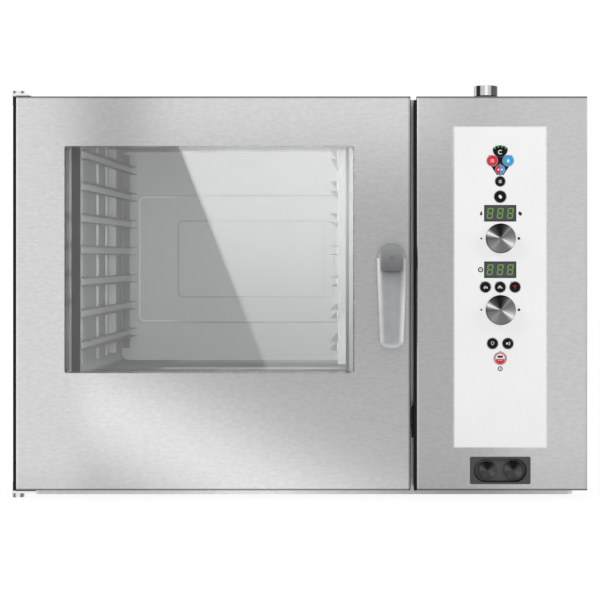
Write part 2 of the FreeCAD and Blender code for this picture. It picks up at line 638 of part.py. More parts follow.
def rack(web_x, side, wall_x):
    """A side rack: channel runners open towards the trays, uprights behind and wall spacers.

    side is +1 where the channels open towards +X; wall_x is the wall that the spacers touch.
    """
    y0, y1 = RUNNER_FRONT, RUNNER_REAR
    back = web_x - side * RUNNER_WALL
    tip = web_x + side * RUNNER_LIP
    solids = []
    for level in range(LEVELS):
        z = level_z(level)
        z0, z1 = z - RUNNER_HEIGHT / 2, z + RUNNER_HEIGHT / 2
        channel = box(min(back, tip), max(back, tip), y0, y1, z0, z1)
        groove = box(min(web_x, tip + side), max(web_x, tip + side), y0 - 1, y1 + 1,
                     z0 + RUNNER_WALL, z1 - RUNNER_WALL)
        solids.append(channel.cut(groove))
    far = back - side * UPRIGHT_WIDTH
    low = level_z(0) - UPRIGHT_OVERHANG
    high = level_z(LEVELS - 1) + UPRIGHT_OVERHANG
    for share in UPRIGHT_PLACES:
        y = y0 + share * (y1 - y0)
        bar = box(min(back, far), max(back, far), y, y + UPRIGHT_THICK, low, high)
        spacers = []
        for z in (low + UPRIGHT_OVERHANG / 2, high - UPRIGHT_OVERHANG / 2):
            spacers.append(cyl_x(min(far, wall_x), max(far, wall_x), y + UPRIGHT_THICK / 2, z,
                                 min(SPACER_R, UPRIGHT_THICK / 2)))
        solids.append(fuse([bar] + spacers))
    brace = back - side * BRACE_WIDTH
    for share in BRACE_PLACES:
        y = y0 + share * (y1 - y0)
        solids.append(box(min(back, brace), max(back, brace), y, y + UPRIGHT_THICK, low, high))
    return solids


def left_rack():
    return rack(LEFT_WEB, 1, CAVITY_LEFT)


def right_rack():
    return rack(RIGHT_WEB, -1, BAFFLE_X)


def grille_slot(ring, place):
    """One arc-shaped slot of the suction grille."""
    step = (GRILLE_R_OUT - GRILLE_R_IN) / GRILLE_RINGS
    r0 = GRILLE_R_IN + ring * step
    r1 = r0 + step - GRILLE_BAR
    span = 360.0 / GRILLE_SLOTS
    bar_angle = math.degrees(GRILLE_BAR / ((r0 + r1) / 2))
    start = place * span + bar_angle / 2
    origin = Vector(BAFFLE_X - 1, FAN_Y, FAN_Z)
    wide = Part.makeCylinder(r1, SHEET + 2, origin, Vector(1, 0, 0), span - bar_angle)
    thin = Part.makeCylinder(r0, SHEET + 2, origin, Vector(1, 0, 0), span - bar_angle)
    return turned_x(wide.cut(thin), start, FAN_Y, FAN_Z)


def fan_baffle():
    """Fan guard: a sheet with a round suction grille, angled side lips and four posts."""
    y0, y1 = CAVITY_FRONT + BAFFLE_MARGIN_Y, CAVITY_REAR - BAFFLE_MARGIN_Y
    z0, z1 = CAVITY_BOTTOM + BAFFLE_MARGIN_Z, CAVITY_TOP - BAFFLE_MARGIN_Z
    plate = fillet_along(box(BAFFLE_X, BAFFLE_X + SHEET, y0, y1, z0, z1), BAFFLE_CORNER, 0)
    for ring in range(GRILLE_RINGS):
        for place in range(GRILLE_SLOTS):
            plate = plate.cut(grille_slot(ring, place))
    solids = [plate]
    post_y, post_z = BAFFLE_POSTS
    for y in (y0 + post_y, y1 - post_y):
        for z in (z0 + post_z, z1 - post_z):
            solids.append(cyl_x(BAFFLE_X + SHEET, CAVITY_RIGHT, y, z, BAFFLE_POST_R))
            solids.append(cyl_x(BAFFLE_X - BAFFLE_NUT, BAFFLE_X, y, z, BAFFLE_POST_R * 1.5))
    depth, inset = BAFFLE_LIP
    for y in (y0 + inset, y1 - inset - SHEET):
        solids.append(box(BAFFLE_X + SHEET, BAFFLE_X + SHEET + depth, y, y + SHEET, z0 + inset, z1 - inset))
    return solids


def fan_wheel():
    """Radial fan wheel: back disc, swept blades, front ring, hub and shaft."""
    x0, x1 = FAN_X, FAN_X + FAN_DEPTH
    disc = cyl_x(x1 - SHEET, x1, FAN_Y, FAN_Z, FAN_R)
    ring = cyl_x(x0, x0 + SHEET, FAN_Y, FAN_Z, FAN_R)
    ring = ring.cut(cyl_x(x0 - 1, x0 + SHEET + 1, FAN_Y, FAN_Z, FAN_R - FAN_RING))
    hub = cyl_x(x0 + FAN_DEPTH / 2, x1, FAN_Y, FAN_Z, FAN_HUB_R)
    shaft_end = PARTITION_X + SHEET + MOTOR_SOCKET - FAN_SHAFT_GAP
    shaft = cyl_x(x0 + FAN_DEPTH / 3, shaft_end, FAN_Y, FAN_Z, FAN_SHAFT_R)
    nut = cyl_x(x0 + FAN_DEPTH / 4, x0 + FAN_DEPTH / 2, FAN_Y, FAN_Z, FAN_NUT_R)
    parts = [disc, ring, hub, shaft, nut]
    for place in range(FAN_BLADES):
        tip = FAN_Z + FAN_R - BLADE_INSET
        blade = box(x0, x1, FAN_Y - SHEET / 2, FAN_Y + SHEET / 2, tip - BLADE_WIDTH, tip)
        blade = turned_x(blade, BLADE_SWEEP, FAN_Y, tip - BLADE_WIDTH / 2)
        parts.append(turned_x(blade, place * 360.0 / FAN_BLADES, FAN_Y, FAN_Z))
    return [fuse(parts)]


def heating_element():
    """Three-turn tubular heater round the fan wheel, with its two cold ends and clamps."""
    first = FAN_X + FAN_DEPTH / 2 - HEATER_PITCH * (HEATER_TURNS - 1) / 2
    turns = []
    for turn in range(HEATER_TURNS):
        place = Vector(first + turn * HEATER_PITCH, FAN_Y, FAN_Z)
        turns.append(Part.makeTorus(HEATER_R, HEATER_TUBE_R, place, Vector(1, 0, 0)))
    end_z = FAN_Z - math.sqrt(HEATER_R ** 2 - HEATER_END_OFFSET ** 2)
    ends = []
    for end_y in (FAN_Y - HEATER_END_OFFSET, FAN_Y + HEATER_END_OFFSET):
        ends.append(cyl_x(first - HEATER_END_R, CAVITY_RIGHT, end_y, end_z, HEATER_END_R))
    solids = [fuse(ends + turns)]
    seat = FAN_Z + HEATER_R + HEATER_TUBE_R
    for angle in (0, 120, 240):
        clamp = box(first - HEATER_TUBE_R, CAVITY_RIGHT, FAN_Y - HEATER_CLAMP / 2, FAN_Y + HEATER_CLAMP / 2,
                    seat, seat + SHEET)
        solids.append(turned_x(clamp, angle, FAN_Y, FAN_Z))
    return solids


def fan_motor():
    """Fan motor in the machine compartment: flange, ribbed body and end bell."""
    x0 = PARTITION_X + SHEET
    wide, thick = MOTOR_FLANGE
    flange = cyl_x(x0, x0 + thick, FAN_Y, FAN_Z, MOTOR_R + wide)
    core_r = MOTOR_R - MOTOR_RIB_HEIGHT
    parts = [flange, cyl_x(x0 + thick, x0 + MOTOR_LENGTH, FAN_Y, FAN_Z, core_r)]
    for place in range(MOTOR_RIBS):
        rib = box(x0 + MOTOR_RIB_ENDS[0], x0 + MOTOR_LENGTH - MOTOR_RIB_ENDS[1],
                  FAN_Y - MOTOR_RIB / 2, FAN_Y + MOTOR_RIB / 2, FAN_Z + core_r - MOTOR_RIB, FAN_Z + MOTOR_R)
        parts.append(turned_x(rib, place * 360 / MOTOR_RIBS, FAN_Y, FAN_Z))
    long, wide, tall = MOTOR_TERMINAL
    start = x0 + (MOTOR_LENGTH - long) / 2
    parts.append(box(start, start + long, FAN_Y - wide / 2, FAN_Y + wide / 2,
                     FAN_Z + core_r - MOTOR_RIB, FAN_Z + MOTOR_R + tall))
    motor = fuse(parts)
    return [motor.cut(cyl_x(x0 - 1, x0 + MOTOR_SOCKET, FAN_Y, FAN_Z, FAN_SHAFT_R + HINGE_FIT))]


def frame_ring(outer, inner, y0, y1, corner):
    """A rectangular ring seen from the front: outer and inner are (x0, x1, z0, z1)."""
    body = block_y(outer[0], outer[1], y0, y1, outer[2], outer[3], corner)
    step = max(0.5, corner - (inner[0] - outer[0]))
    return body.cut(block_y(inner[0], inner[1], y0 - 1, y1 + 1, inner[2], inner[3], step))


def grown(rectangle, amount):
    x0, x1, z0, z1 = rectangle
    return (x0 - amount, x1 + amount, z0 - amount, z1 + amount)


def door_gasket():
    """Rubber gasket round the cavity mouth, its bead rounded towards the door."""
    inner = grown(OPENING, GASKET_OFFSET)
    outer = grown(inner, GASKET_WIDTH)
    front = CASE_FRONT - DOOR_GAP + GASKET_CLEARANCE
    ring = frame_ring(outer, inner, front, CASE_FRONT, CAVITY_CORNER + GASKET_OFFSET)
    return [soft_front(ring, 3.0, front)]


# ---------------------------------------------------------------- door
def door_skin():
    """Outer door pan with the window cut-out, the spindle hole and notched hinge corners."""
    skin = folded_front(DOOR_LEFT, DOOR_RIGHT, FACE_Y, DOOR_REAR - SHEET, DOOR_BOTTOM, DOOR_TOP)
    x0, x1, z0, z1 = WINDOW
    skin = skin.cut(block_y(x0, x1, FACE_Y - 1, FACE_Y + SHEET + 1, z0, z1, WINDOW_CORNER))
    skin = skin.cut(cyl_y(HUB_X, HUB_Z, SPINDLE_R + SPINDLE_FIT, FACE_Y - 1, FACE_Y + 9))
    width, height = HINGE_BLOCK
    for z0 in (DOOR_BOTTOM, DOOR_TOP - height):
        skin = skin.cut(box(DOOR_LEFT - 1, DOOR_LEFT + width, FACE_Y + BEND, DOOR_REAR, z0, z0 + height))
    return [skin]


def door_liner():
    """Rear sheet of the door with the ledge that holds the inner pane and its seal."""
    plate = box(DOOR_LEFT, DOOR_RIGHT, DOOR_REAR - SHEET, DOOR_REAR, DOOR_BOTTOM, DOOR_TOP)
    hole = grown(WINDOW, INNER_GLASS_LAP + 1)
    ledge_front = INNER_GLASS_FRONT - SHEET
    rim = frame_ring(grown(hole, SHEET), hole, ledge_front, DOOR_REAR - SHEET, 4)
    ledge = frame_ring(grown(hole, SHEET), grown(WINDOW, SEAL_OUTSIDE), ledge_front, INNER_GLASS_FRONT, 4)
    x0, x1, z0, z1 = hole
    plate = plate.cut(block_y(x0, x1, DOOR_REAR - 9, DOOR_REAR + 1, z0, z1, 2.5))
    liner = fuse([plate, rim, ledge])
    return [liner.cut(cyl_y(HUB_X, HUB_Z, SPINDLE_R + SPINDLE_FIT, DOOR_REAR - 9, DOOR_REAR + 1))]


def window_tunnel():
    """Polished surround that spaces the two panes apart, turned in at its rear over the side seals."""
    ring = frame_ring(grown(WINDOW, TUNNEL_WALL), WINDOW, GLASS_FRONT + GLASS, SEAL_FRONT, WINDOW_CORNER)
    x0, x1, z0, z1 = WINDOW
    left, right = TUNNEL_LIPS
    front = SEAL_FRONT - TUNNEL_WALL
    lips = [box(x0 - TUNNEL_WALL / 2, x0 + left, front, SEAL_FRONT, z0, z1),
            box(x1 - right, x1 + TUNNEL_WALL / 2, front, SEAL_FRONT, z0, z1)]
    return [fuse([ring] + lips)]


def outer_glass():
    x0, x1, z0, z1 = grown(WINDOW, OUTER_GLASS_LAP)
    return [block_y(x0, x1, GLASS_FRONT, GLASS_FRONT + GLASS, z0, z1, 6)]


def inner_glass():
    x0, x1, z0, z1 = grown(WINDOW, INNER_GLASS_LAP)
    return [block_y(x0, x1, INNER_GLASS_FRONT, DOOR_REAR, z0, z1, 3)]


def inner_glass_seal():
    """Two upright rubber strips before the inner pane; top and bottom stay open to the cooling air."""
    x0, x1, z0, z1 = grown(WINDOW, SEAL_OUTSIDE)
    left, right = WINDOW[0] + SEAL_INSIDE[0], WINDOW[1] - SEAL_INSIDE[1]

    def inner_front(edge):
        place = edge.CenterOfMass
        return abs(place.y - SEAL_FRONT) < 1e-6 and min(abs(place.x - left), abs(place.x - right)) < 1e-6
    strips = [box(x0, left, SEAL_FRONT, INNER_GLASS_FRONT, z0, z1),
              box(right, x1, SEAL_FRONT, INNER_GLASS_FRONT, z0, z1)]
    return [fillet_along(strip, SEAL_DEPTH * 0.6, 2, inner_front) for strip in strips]


def glass_clips():
    """Six spring clips that hold the inner pane to the door liner."""
    x0, x1, z0, z1 = grown(WINDOW, INNER_GLASS_LAP)
    solids = []
    for x in (x0 - 6, x1 - 6):
        for z in (z0 + 60, (z0 + z1) / 2, z1 - 60):
            solids.append(block_y(x, x + 12, DOOR_REAR, DOOR_REAR + 2, z - 14, z + 14, 3))
    return solids


def door_edge_trim():
    """Black rubber profile along the hinge edge of the door, between the hinge blocks."""
    low, high = DOOR_BOTTOM + HINGE_BLOCK[1], DOOR_TOP - HINGE_BLOCK[1]
    trim = box(DOOR_LEFT - DOOR_EDGE_TRIM, DOOR_LEFT, FACE_Y + BEND, DOOR_REAR, low, high)

    def outer(edge):
        return abs(edge.CenterOfMass.x - (DOOR_LEFT - DOOR_EDGE_TRIM)) < 1e-6
    return [fillet_along(trim, 2.0, 2, outer)]


def hinge_blocks():
    """Corner blocks of the door, bored for the hinge pins."""
    width, height = HINGE_BLOCK
    solids = []
    for z0 in (DOOR_BOTTOM, DOOR_TOP - height):
        body = box(DOOR_LEFT - DOOR_EDGE_TRIM, DOOR_LEFT + width, FACE_Y + BEND, DOOR_REAR - SHEET,
                   z0, z0 + height)
        bore = cyl_z(PIN_X, PIN_Y, HINGE_PIN_R + HINGE_FIT, z0 - 1, z0 + height + 1)
        solids.append(body.cut(bore))
    return solids


HINGE_UPPER = CASE_TOP + HINGE_GAP                      # underside of the upper plate
HINGE_LOWER = CASE_BOTTOM - HINGE_GAP                   # top of the lower plate
HINGE_HIGH = HINGE_UPPER + HINGE_PLATE + HINGE_BOSS_HEIGHT[0]
HINGE_LOW = HINGE_LOWER - HINGE_PLATE - HINGE_BOSS_HEIGHT[1]


def hinge_plate(z0, arm):
    """One hinge plate: a strip along the case that widens to the eye in front of it."""
    left = PIN_X - HINGE_BOSS_R
    inner, right, tip = CASE_LEFT + SHEET, CASE_LEFT + HINGE_WIDTH, CASE_LEFT + arm
    front, rear = CASE_FRONT - 1.0, CASE_FRONT + HINGE_REACH
    nose = PIN_Y - HINGE_BOSS_R
    slant = HINGE_BOSS_R * math.cos(math.pi / 4)
    points = [(left, PIN_Y), (left, front - HINGE_STEP[0]), (inner, front + HINGE_STEP[1]), (inner, rear),
              (right, rear), (right, front), (tip, nose + HINGE_CHAMFER), (tip - HINGE_CHAMFER, nose),
              (PIN_X, nose)]
    edges = [line((a[0], a[1], z0), (b[0], b[1], z0)) for a, b in zip(points, points[1:])]
    edges.append(arc((PIN_X, nose, z0), (PIN_X - slant, PIN_Y - slant, z0), (left, PIN_Y, z0)))
    return Part.Face(Part.Wire(edges)).extrude(Vector(0, 0, HINGE_PLATE))


def hinge_spacer(z0):
    """The pad that holds a plate off the case."""
    return box(CASE_LEFT + SHEET, CASE_LEFT + HINGE_WIDTH, CASE_FRONT + SHEET, CASE_FRONT + HINGE_REACH,
               z0, z0 + HINGE_GAP)


def hinge_brackets():
    """Upper and lower hinge plates on their spacers, each with a boss round the pin."""
    upper = fuse([hinge_plate(HINGE_UPPER, HINGE_ARM[0]), hinge_spacer(CASE_TOP),
                  cyl_z(PIN_X, PIN_Y, HINGE_BOSS_R, HINGE_UPPER + HINGE_PLATE, HINGE_HIGH)])
    lower = fuse([hinge_plate(HINGE_LOWER - HINGE_PLATE, HINGE_ARM[1]), hinge_spacer(HINGE_LOWER),
                  cyl_z(PIN_X, PIN_Y, HINGE_BOSS_R, HINGE_LOW, HINGE_LOWER - HINGE_PLATE)])
    pin = cyl_z(PIN_X, PIN_Y, HINGE_PIN_R, HINGE_LOW - 1, HINGE_HIGH + 1)
    return [upper.cut(pin), lower.cut(pin)]


def hinge_pins():
    """The two hinge pins, fixed in the plates and reaching into the door's corner blocks."""
    reach = HINGE_BLOCK[1] - 2
    return [cyl_z(PIN_X, PIN_Y, HINGE_PIN_R, DOOR_TOP - reach, HINGE_HIGH),
            cyl_z(PIN_X, PIN_Y, HINGE_PIN_R, HINGE_LOW, DOOR_BOTTOM + reach)]


# ---------------------------------------------------------------- handle and latch
LEVER_BACK = FACE_Y - HANDLE_STANDOFF
LEVER_FRONT = LEVER_BACK - HANDLE_THICK


def rim_inside(below):
    """Half the width between the two rims at a height below the hub."""
    lean = (HANDLE_WIDTH - HANDLE_TIP_WIDTH) / 2 / (HANDLE_DROP - HANDLE_TIP_ARCH)
    return HANDLE_WIDTH / 2 - HANDLE_RIM - lean * below


def lever():
    """The lever below the hub: sides that taper down to a rounded tip, all its edges softened."""
    top, tip = HANDLE_WIDTH / 2, HANDLE_TIP_WIDTH / 2
    y, low = LEVER_FRONT, HUB_Z - HANDLE_DROP
    bend = low + HANDLE_TIP_ARCH
    edges = [
        line((HUB_X - top, y, HUB_Z), (HUB_X + top, y, HUB_Z)),
        line((HUB_X + top, y, HUB_Z), (HUB_X + tip, y, bend)),
        arc((HUB_X + tip, y, bend), (HUB_X, y, low), (HUB_X - tip, y, bend)),
        line((HUB_X - tip, y, bend), (HUB_X - top, y, HUB_Z)),
    ]
    body = outline_y(edges, LEVER_FRONT, LEVER_BACK)
    body = fillet_along(body, HANDLE_TIP_CORNER, 1, lambda edge: edge.CenterOfMass.z < bend + 1)
    body = soft_front(body, HANDLE_EDGE_R, LEVER_FRONT)
    return soft_front(body, HANDLE_EDGE_R / 2, LEVER_BACK)


def handle_dish():
    """The hollow between the rims: a cone laid along the lever, square at the head and round at the tip."""
    half, tip_half = rim_inside(HANDLE_LEDGE), HANDLE_TIP_WIDTH / 2 - HANDLE_RIM
    end = HANDLE_DROP - HANDLE_TIP_RIM - tip_half
    radius = (half ** 2 + HANDLE_SCOOP ** 2) / (2 * HANDLE_SCOOP)
    ahead = radius - HANDLE_SCOOP
    tip_radius = math.sqrt(tip_half ** 2 + ahead ** 2)
    start = Vector(HUB_X, LEVER_FRONT - ahead, HUB_Z - HANDLE_LEDGE)
    cone = Part.makeCone(radius, tip_radius, end - HANDLE_LEDGE, start, Vector(0, 0, -1))
    return cone.fuse(Part.makeSphere(tip_radius, Vector(HUB_X, LEVER_FRONT - ahead, HUB_Z - end)))


def handle():
    """Lever with a dished front between raised rims, a round head over the hub and a boss to the door."""
    face = LEVER_FRONT + HEAD_STEP
    half = rim_inside(HANDLE_LEDGE / 2)
    seat = box(HUB_X - half, HUB_X + half, LEVER_FRONT - 1, face, HUB_Z - HANDLE_LEDGE - 1, HUB_Z + 1)
    head = soft_front(cyl_y(HUB_X, HUB_Z, HEAD_R, face, LEVER_BACK), HEAD_EDGE_R, face)
    boss = cyl_y(HUB_X, HUB_Z, HANDLE_HUB_R, LEVER_BACK - 2, FACE_Y - CAP_FIT)
    body = fuse([lever().cut(seat), head, boss]).cut(handle_dish())
    for inner, outer, depth in (HEAD_GROOVE, HEAD_DIMPLE):
        ring = cyl_y(HUB_X, HUB_Z, outer, face, face + depth)
        body = body.cut(ring.cut(cyl_y(HUB_X, HUB_Z, inner, face, face + depth)))
    return [body.cut(cyl_y(HUB_X, HUB_Z, SPINDLE_R, LEVER_BACK - 4, FACE_Y))]


def latch():
    """Spindle through the door with the latch tongue, its end struck from the spindle axis."""
    spindle = cyl_y(HUB_X, HUB_Z, SPINDLE_R, LEVER_BACK - 4, LATCH_END)
    front = LATCH_END - LATCH_THICK
    half = LATCH_WIDTH / 2
    bar = box(HUB_X - half, HUB_X + half, front, LATCH_END, HUB_Z - LATCH_REACH - 2, HUB_Z)
    tongue = bar.common(cyl_y(HUB_X, HUB_Z, LATCH_REACH, front, LATCH_END))
    return [fuse([spindle, tongue, cyl_y(HUB_X, HUB_Z, LATCH_WIDTH * 0.75, front, LATCH_END)])]


def latch_strike():
    """Roller on two cheeks in the latch pocket; the tongue passes over the roller."""
    roller_z = HUB_Z - LATCH_REACH - ROLLER_CLEARANCE - ROLLER_R
    roller_y = LATCH_END - LATCH_THICK / 2
    half = ROLLER_LENGTH / 2
    low = POCKET[2]
    roller = cyl_x(HUB_X - half, HUB_X + half, roller_y, roller_z, ROLLER_R)
    strike = [roller]
    for x in (HUB_X - half - 3, HUB_X + half):
        strike.append(box(x, x + 3, CAVITY_FRONT, roller_y + ROLLER_R, low, roller_z + 3))
    strike.append(box(HUB_X - half - 3, HUB_X + half + 3, CAVITY_FRONT, roller_y + ROLLER_R, low, low + 2))
    return [fuse(strike)]


# ---------------------------------------------------------------- control panel
def panel_hole(x, z, r):
    return cyl_y(x, z, r, FACE_Y - 1, RECESS_BACK + 1)


def membrane_area(margin):
    return (MEMBRANE_X - MEMBRANE_WIDTH / 2 - margin, MEMBRANE_X + MEMBRANE_WIDTH / 2 + margin,
            MEMBRANE_LOW - margin, MEMBRANE_HIGH + margin)


def key_places():
    """Every key as name, x, z and the radius of a circle inside it."""
    places = [(name, MEMBRANE_X + x, MEMBRANE_HIGH - drop, r) for name, x, drop, r in ROUND_KEYS]
    places.append(("key_mode_top", MEMBRANE_X, FAN_KEY_Z, FAN_KEY_HEIGHT / 2))
    places.append(("key_combination", MEMBRANE_X, MEMBRANE_HIGH - FOOT_KEY_DROP, FOOT_KEY_R))
    return places


def control_front():
    """Control panel pan with the pressed recess and holes for keys, knobs, displays and sockets."""
    pan = folded_front(PANEL_LEFT, CASE_RIGHT, FACE_Y, CASE_FRONT, CASE_BOTTOM, CASE_TOP)
    x0, x1, z0, z1 = membrane_area(RECESS_MARGIN + SHEET)
    tray = block_y(x0, x1, FACE_Y, RECESS_BACK, z0, z1, RECESS_CORNER + SHEET)
    x0, x1, z0, z1 = membrane_area(RECESS_MARGIN)
    recess = block_y(x0, x1, FACE_Y - 1, RECESS_Y, z0, z1, RECESS_CORNER)
    pan = fuse([pan, tray]).cut(recess)
    rim = [e for e in pan.Edges if front_edges(FACE_Y)(e) and x0 - 0.1 < e.CenterOfMass.x < x1 + 0.1
           and z0 - 0.1 < e.CenterOfMass.z < z1 + 0.1]
    pan = pan.makeFillet(SHEET * 0.8, rim)
    for name, x, z, r in key_places():
        pan = pan.cut(panel_hole(x, z, KEY_STEM_R + KEY_CLEAR))
    for z in KNOB_Z:
        pan = pan.cut(panel_hole(MEMBRANE_X, z, ENCODER_SHAFT_R + KEY_CLEAR))
    width, height = DISPLAY_SIZE
    for middle in DISPLAY_Z:
        pan = pan.cut(box(MEMBRANE_X - width / 2 + 4, MEMBRANE_X + width / 2 - 4, FACE_Y, RECESS_BACK + 1,
                          middle - height / 2 + 4, middle + height / 2 - 4))
    sx0, sx1, sz0, sz1 = service_area(-SERVICE_LAP)
    return [pan.cut(box(sx0, sx1, FACE_Y - 1, FACE_Y + SHEET + 1, sz0, sz1))]


def panel_edge_seal():
    """Rubber seal on the panel's edge beside the door, with a pad low down that guides a probe cable."""
    seal = box(PANEL_LEFT - EDGE_SEAL, PANEL_LEFT, FACE_Y + 1, CASE_FRONT, CASE_BOTTOM, CASE_TOP - SEAL_TOP)
    pad_low = CASE_BOTTOM + PAD_Z
    pad = box(PANEL_LEFT - EDGE_SEAL - PAD_REACH, PANEL_LEFT - EDGE_SEAL, FACE_Y + 6, FACE_Y + 30,
              pad_low, pad_low + PAD_HEIGHT)
    return [fuse([seal, pad])]


def membrane():
    """Keypad overlay in the recess, cut out for the displays, keys and knob shafts."""
    x0, x1, z0, z1 = membrane_area(0)
    sheet = block_y(x0, x1, MEMBRANE_Y, RECESS_Y, z0, z1, MEMBRANE_CORNER)
    for name, x, z, r in key_places():
        if name == "key_mode_top":
            sheet = sheet.cut(fan_key_body(KEY_FIT, MEMBRANE_Y - 1, RECESS_Y + 1))
        else:
            sheet = sheet.cut(cyl_y(x, z, r + KEY_FIT, MEMBRANE_Y - 1, RECESS_Y + 1))
    for z in KNOB_Z:
        sheet = sheet.cut(cyl_y(MEMBRANE_X, z, ENCODER_SHAFT_R + 2, MEMBRANE_Y - 1, RECESS_Y + 1))
    width, height = DISPLAY_SIZE
    for middle in DISPLAY_Z:
        sheet = sheet.cut(box(MEMBRANE_X - width / 2, MEMBRANE_X + width / 2, MEMBRANE_Y - 1, RECESS_Y + 1,
                              middle - height / 2, middle + height / 2))
    return [sheet]


def displays():
    """Two digit displays: a window tile flush with the overlay and the module down to the board."""
    width, height = DISPLAY_SIZE
    solids = []
    for middle in DISPLAY_Z:
        tile = box(MEMBRANE_X - width / 2, MEMBRANE_X + width / 2, MEMBRANE_Y, RECESS_Y,
                   middle - height / 2, middle + height / 2)
        module = box(MEMBRANE_X - width / 2 + 4, MEMBRANE_X + width / 2 - 4, RECESS_Y, BOARD_Y,
                     middle - height / 2 + 4, middle + height / 2 - 4)
        solids.append(fuse([tile, module]))
    return solids


def fan_key_body(grow, y0, y1):
    """The fan-shaped key: a flat upper arc, a deep lower arc and rounded corners between them."""
    x, wide = MEMBRANE_X, FAN_KEY_WIDTH / 2 + grow
    high, low = FAN_KEY_Z + FAN_KEY_HEIGHT / 2 + grow, FAN_KEY_Z - FAN_KEY_HEIGHT / 2 - grow
    shoulder = high - FAN_KEY_ARCH
    edges = [arc((x - wide, y0, shoulder), (x, y0, high), (x + wide, y0, shoulder)),
             arc((x + wide, y0, shoulder), (x, y0, low), (x - wide, y0, shoulder))]
    return fillet_along(outline_y(edges, y0, y1), FAN_KEY_CORNER, 1)


def key_stem(x, z):
    """Stem of a key with the collar that keeps it behind the panel."""
    stem = cyl_y(x, z, KEY_STEM_R, KEY_REST, SWITCH_Y - KEY_TRAVEL - KEY_CLEAR)
    collar = cyl_y(x, z, KEY_STEM_R + 1.5, RECESS_BACK + KEY_CLEAR, RECESS_BACK + KEY_CLEAR + 1.5)
    return fuse([stem, collar])


def round_key(x, z, r):
    cap = cyl_y(x, z, r, KEY_FACE, KEY_REST)
    cap = soft_front(cap, KEY_LIFT * 0.4, KEY_FACE)
    return [fuse([cap, key_stem(x, z)])]


def fan_key():
    cap = fan_key_body(0, KEY_FACE, KEY_REST)
    return [fuse([cap, key_stem(MEMBRANE_X, FAN_KEY_Z)])]


def control_board():
    """Board behind the keys and displays, on posts, with one switch under each key."""
    x0, x1, z0, z1 = membrane_area(-BOARD_MARGIN)
    board = box(x0, x1, BOARD_Y, BOARD_Y + BOARD_THICK, z0, z1)
    parts = [board]
    for x in (x0 + 8, x1 - 8):
        for z in (z0 + 8, (z0 + z1) / 2, z1 - 8):
            parts.append(cyl_y(x, z, 3.5, RECESS_BACK, BOARD_Y))
    for name, x, z, r in key_places():
        parts.append(box(x - 3, x + 3, SWITCH_Y, BOARD_Y, z - 3, z + 3))
    return [fuse(parts)]


def encoder_body(middle):
    x, half = MEMBRANE_X, ENCODER_SIZE / 2
    body = box(x - half, x + half, RECESS_BACK, BOARD_Y, middle - half, middle + half)
    return body.cut(cyl_y(x, middle, ENCODER_SHAFT_R + ENCODER_FIT, RECESS_BACK - 1, BOARD_Y - 1))


def encoders():
    """The two rotary encoders with push switch, between the panel and the board."""
    return [encoder_body(z) for z in KNOB_Z]


def knob(middle):
    """Turned knob with a dished face and rounded rim, on the encoder's shaft."""
    back = MEMBRANE_Y - KNOB_LIFT
    face = back - KNOB_HEIGHT
    body = cyl_y(MEMBRANE_X, middle, KNOB_R, face, back)
    body = soft_front(body, KNOB_EDGE_R, face)
    dish_radius = KNOB_DISH_R
    inset = KNOB_R - KNOB_EDGE_R - 1.5
    depth = dish_radius - math.sqrt(dish_radius ** 2 - inset ** 2)
    body = body.cut(Part.makeSphere(dish_radius, Vector(MEMBRANE_X, face - dish_radius + depth, middle)))
    shaft = cyl_y(MEMBRANE_X, middle, ENCODER_SHAFT_R, back - 1, BOARD_Y - 1 - KNOB_END_GAP)
    return [fuse([body, shaft])]


def service_area(margin):
    width, height = SERVICE_SIZE
    middle = CASE_BOTTOM + SERVICE_Z
    return (MEMBRANE_X - width / 2 - margin, MEMBRANE_X + width / 2 + margin,
            middle - height / 2 - margin, middle + height / 2 + margin)


def cap_x(way):
    return MEMBRANE_X + way * CAP_SPACING / 2


def service_housing():
    """Plastic housing of the probe and data sockets with its long rounded pocket."""
    x0, x1, z0, z1 = service_area(0)
    bezel = block_y(x0, x1, FACE_Y - SERVICE_PROUD, FACE_Y, z0, z1, SERVICE_CORNER)
    bezel = soft_front(bezel, SERVICE_PROUD * 0.6, FACE_Y - SERVICE_PROUD)
    x0, x1, z0, z1 = service_area(-SERVICE_LAP)
    body = box(x0, x1, FACE_Y, FACE_Y + SERVICE_DEPTH, z0, z1)
    width, height = SERVICE_POCKET
    middle = CASE_BOTTOM + SERVICE_Z
    floor = FACE_Y + SERVICE_POCKET_DEPTH
    pocket = block_y(MEMBRANE_X - width / 2, MEMBRANE_X + width / 2, FACE_Y - SERVICE_PROUD - 1, floor,
                     middle - height / 2, middle + height / 2, height / 2 - 0.05)
    housing = fuse([bezel, body]).cut(pocket)
    for way in (-1, 1):
        housing = housing.cut(cyl_y(cap_x(way), middle, CAP_STEM_R + SPINDLE_FIT,
                                    FACE_Y, floor + CAP_STEM + 2))
    return [housing]


def probe_cap():
    """Cap of the core probe socket: a disc with four lugs on a stem."""
    x, z = cap_x(-1), CASE_BOTTOM + SERVICE_Z
    back = FACE_Y + SERVICE_POCKET_DEPTH - CAP_FIT
    disc = cyl_y(x, z, CAP_R - 2, back - CAP_HEIGHT, back)
    disc = soft_front(disc, 1.5, back - CAP_HEIGHT)
    parts = [disc, cyl_y(x, z, CAP_STEM_R, back - 1, back + CAP_STEM)]
    for place in range(LUGS):
        angle = math.radians(45 + place * 360.0 / LUGS)
        parts.append(cyl_y(x + (CAP_R - 3) * math.cos(angle), z + (CAP_R - 3) * math.sin(angle), 3,
                           back - CAP_HEIGHT + 3, back))
    return [fuse(parts)]


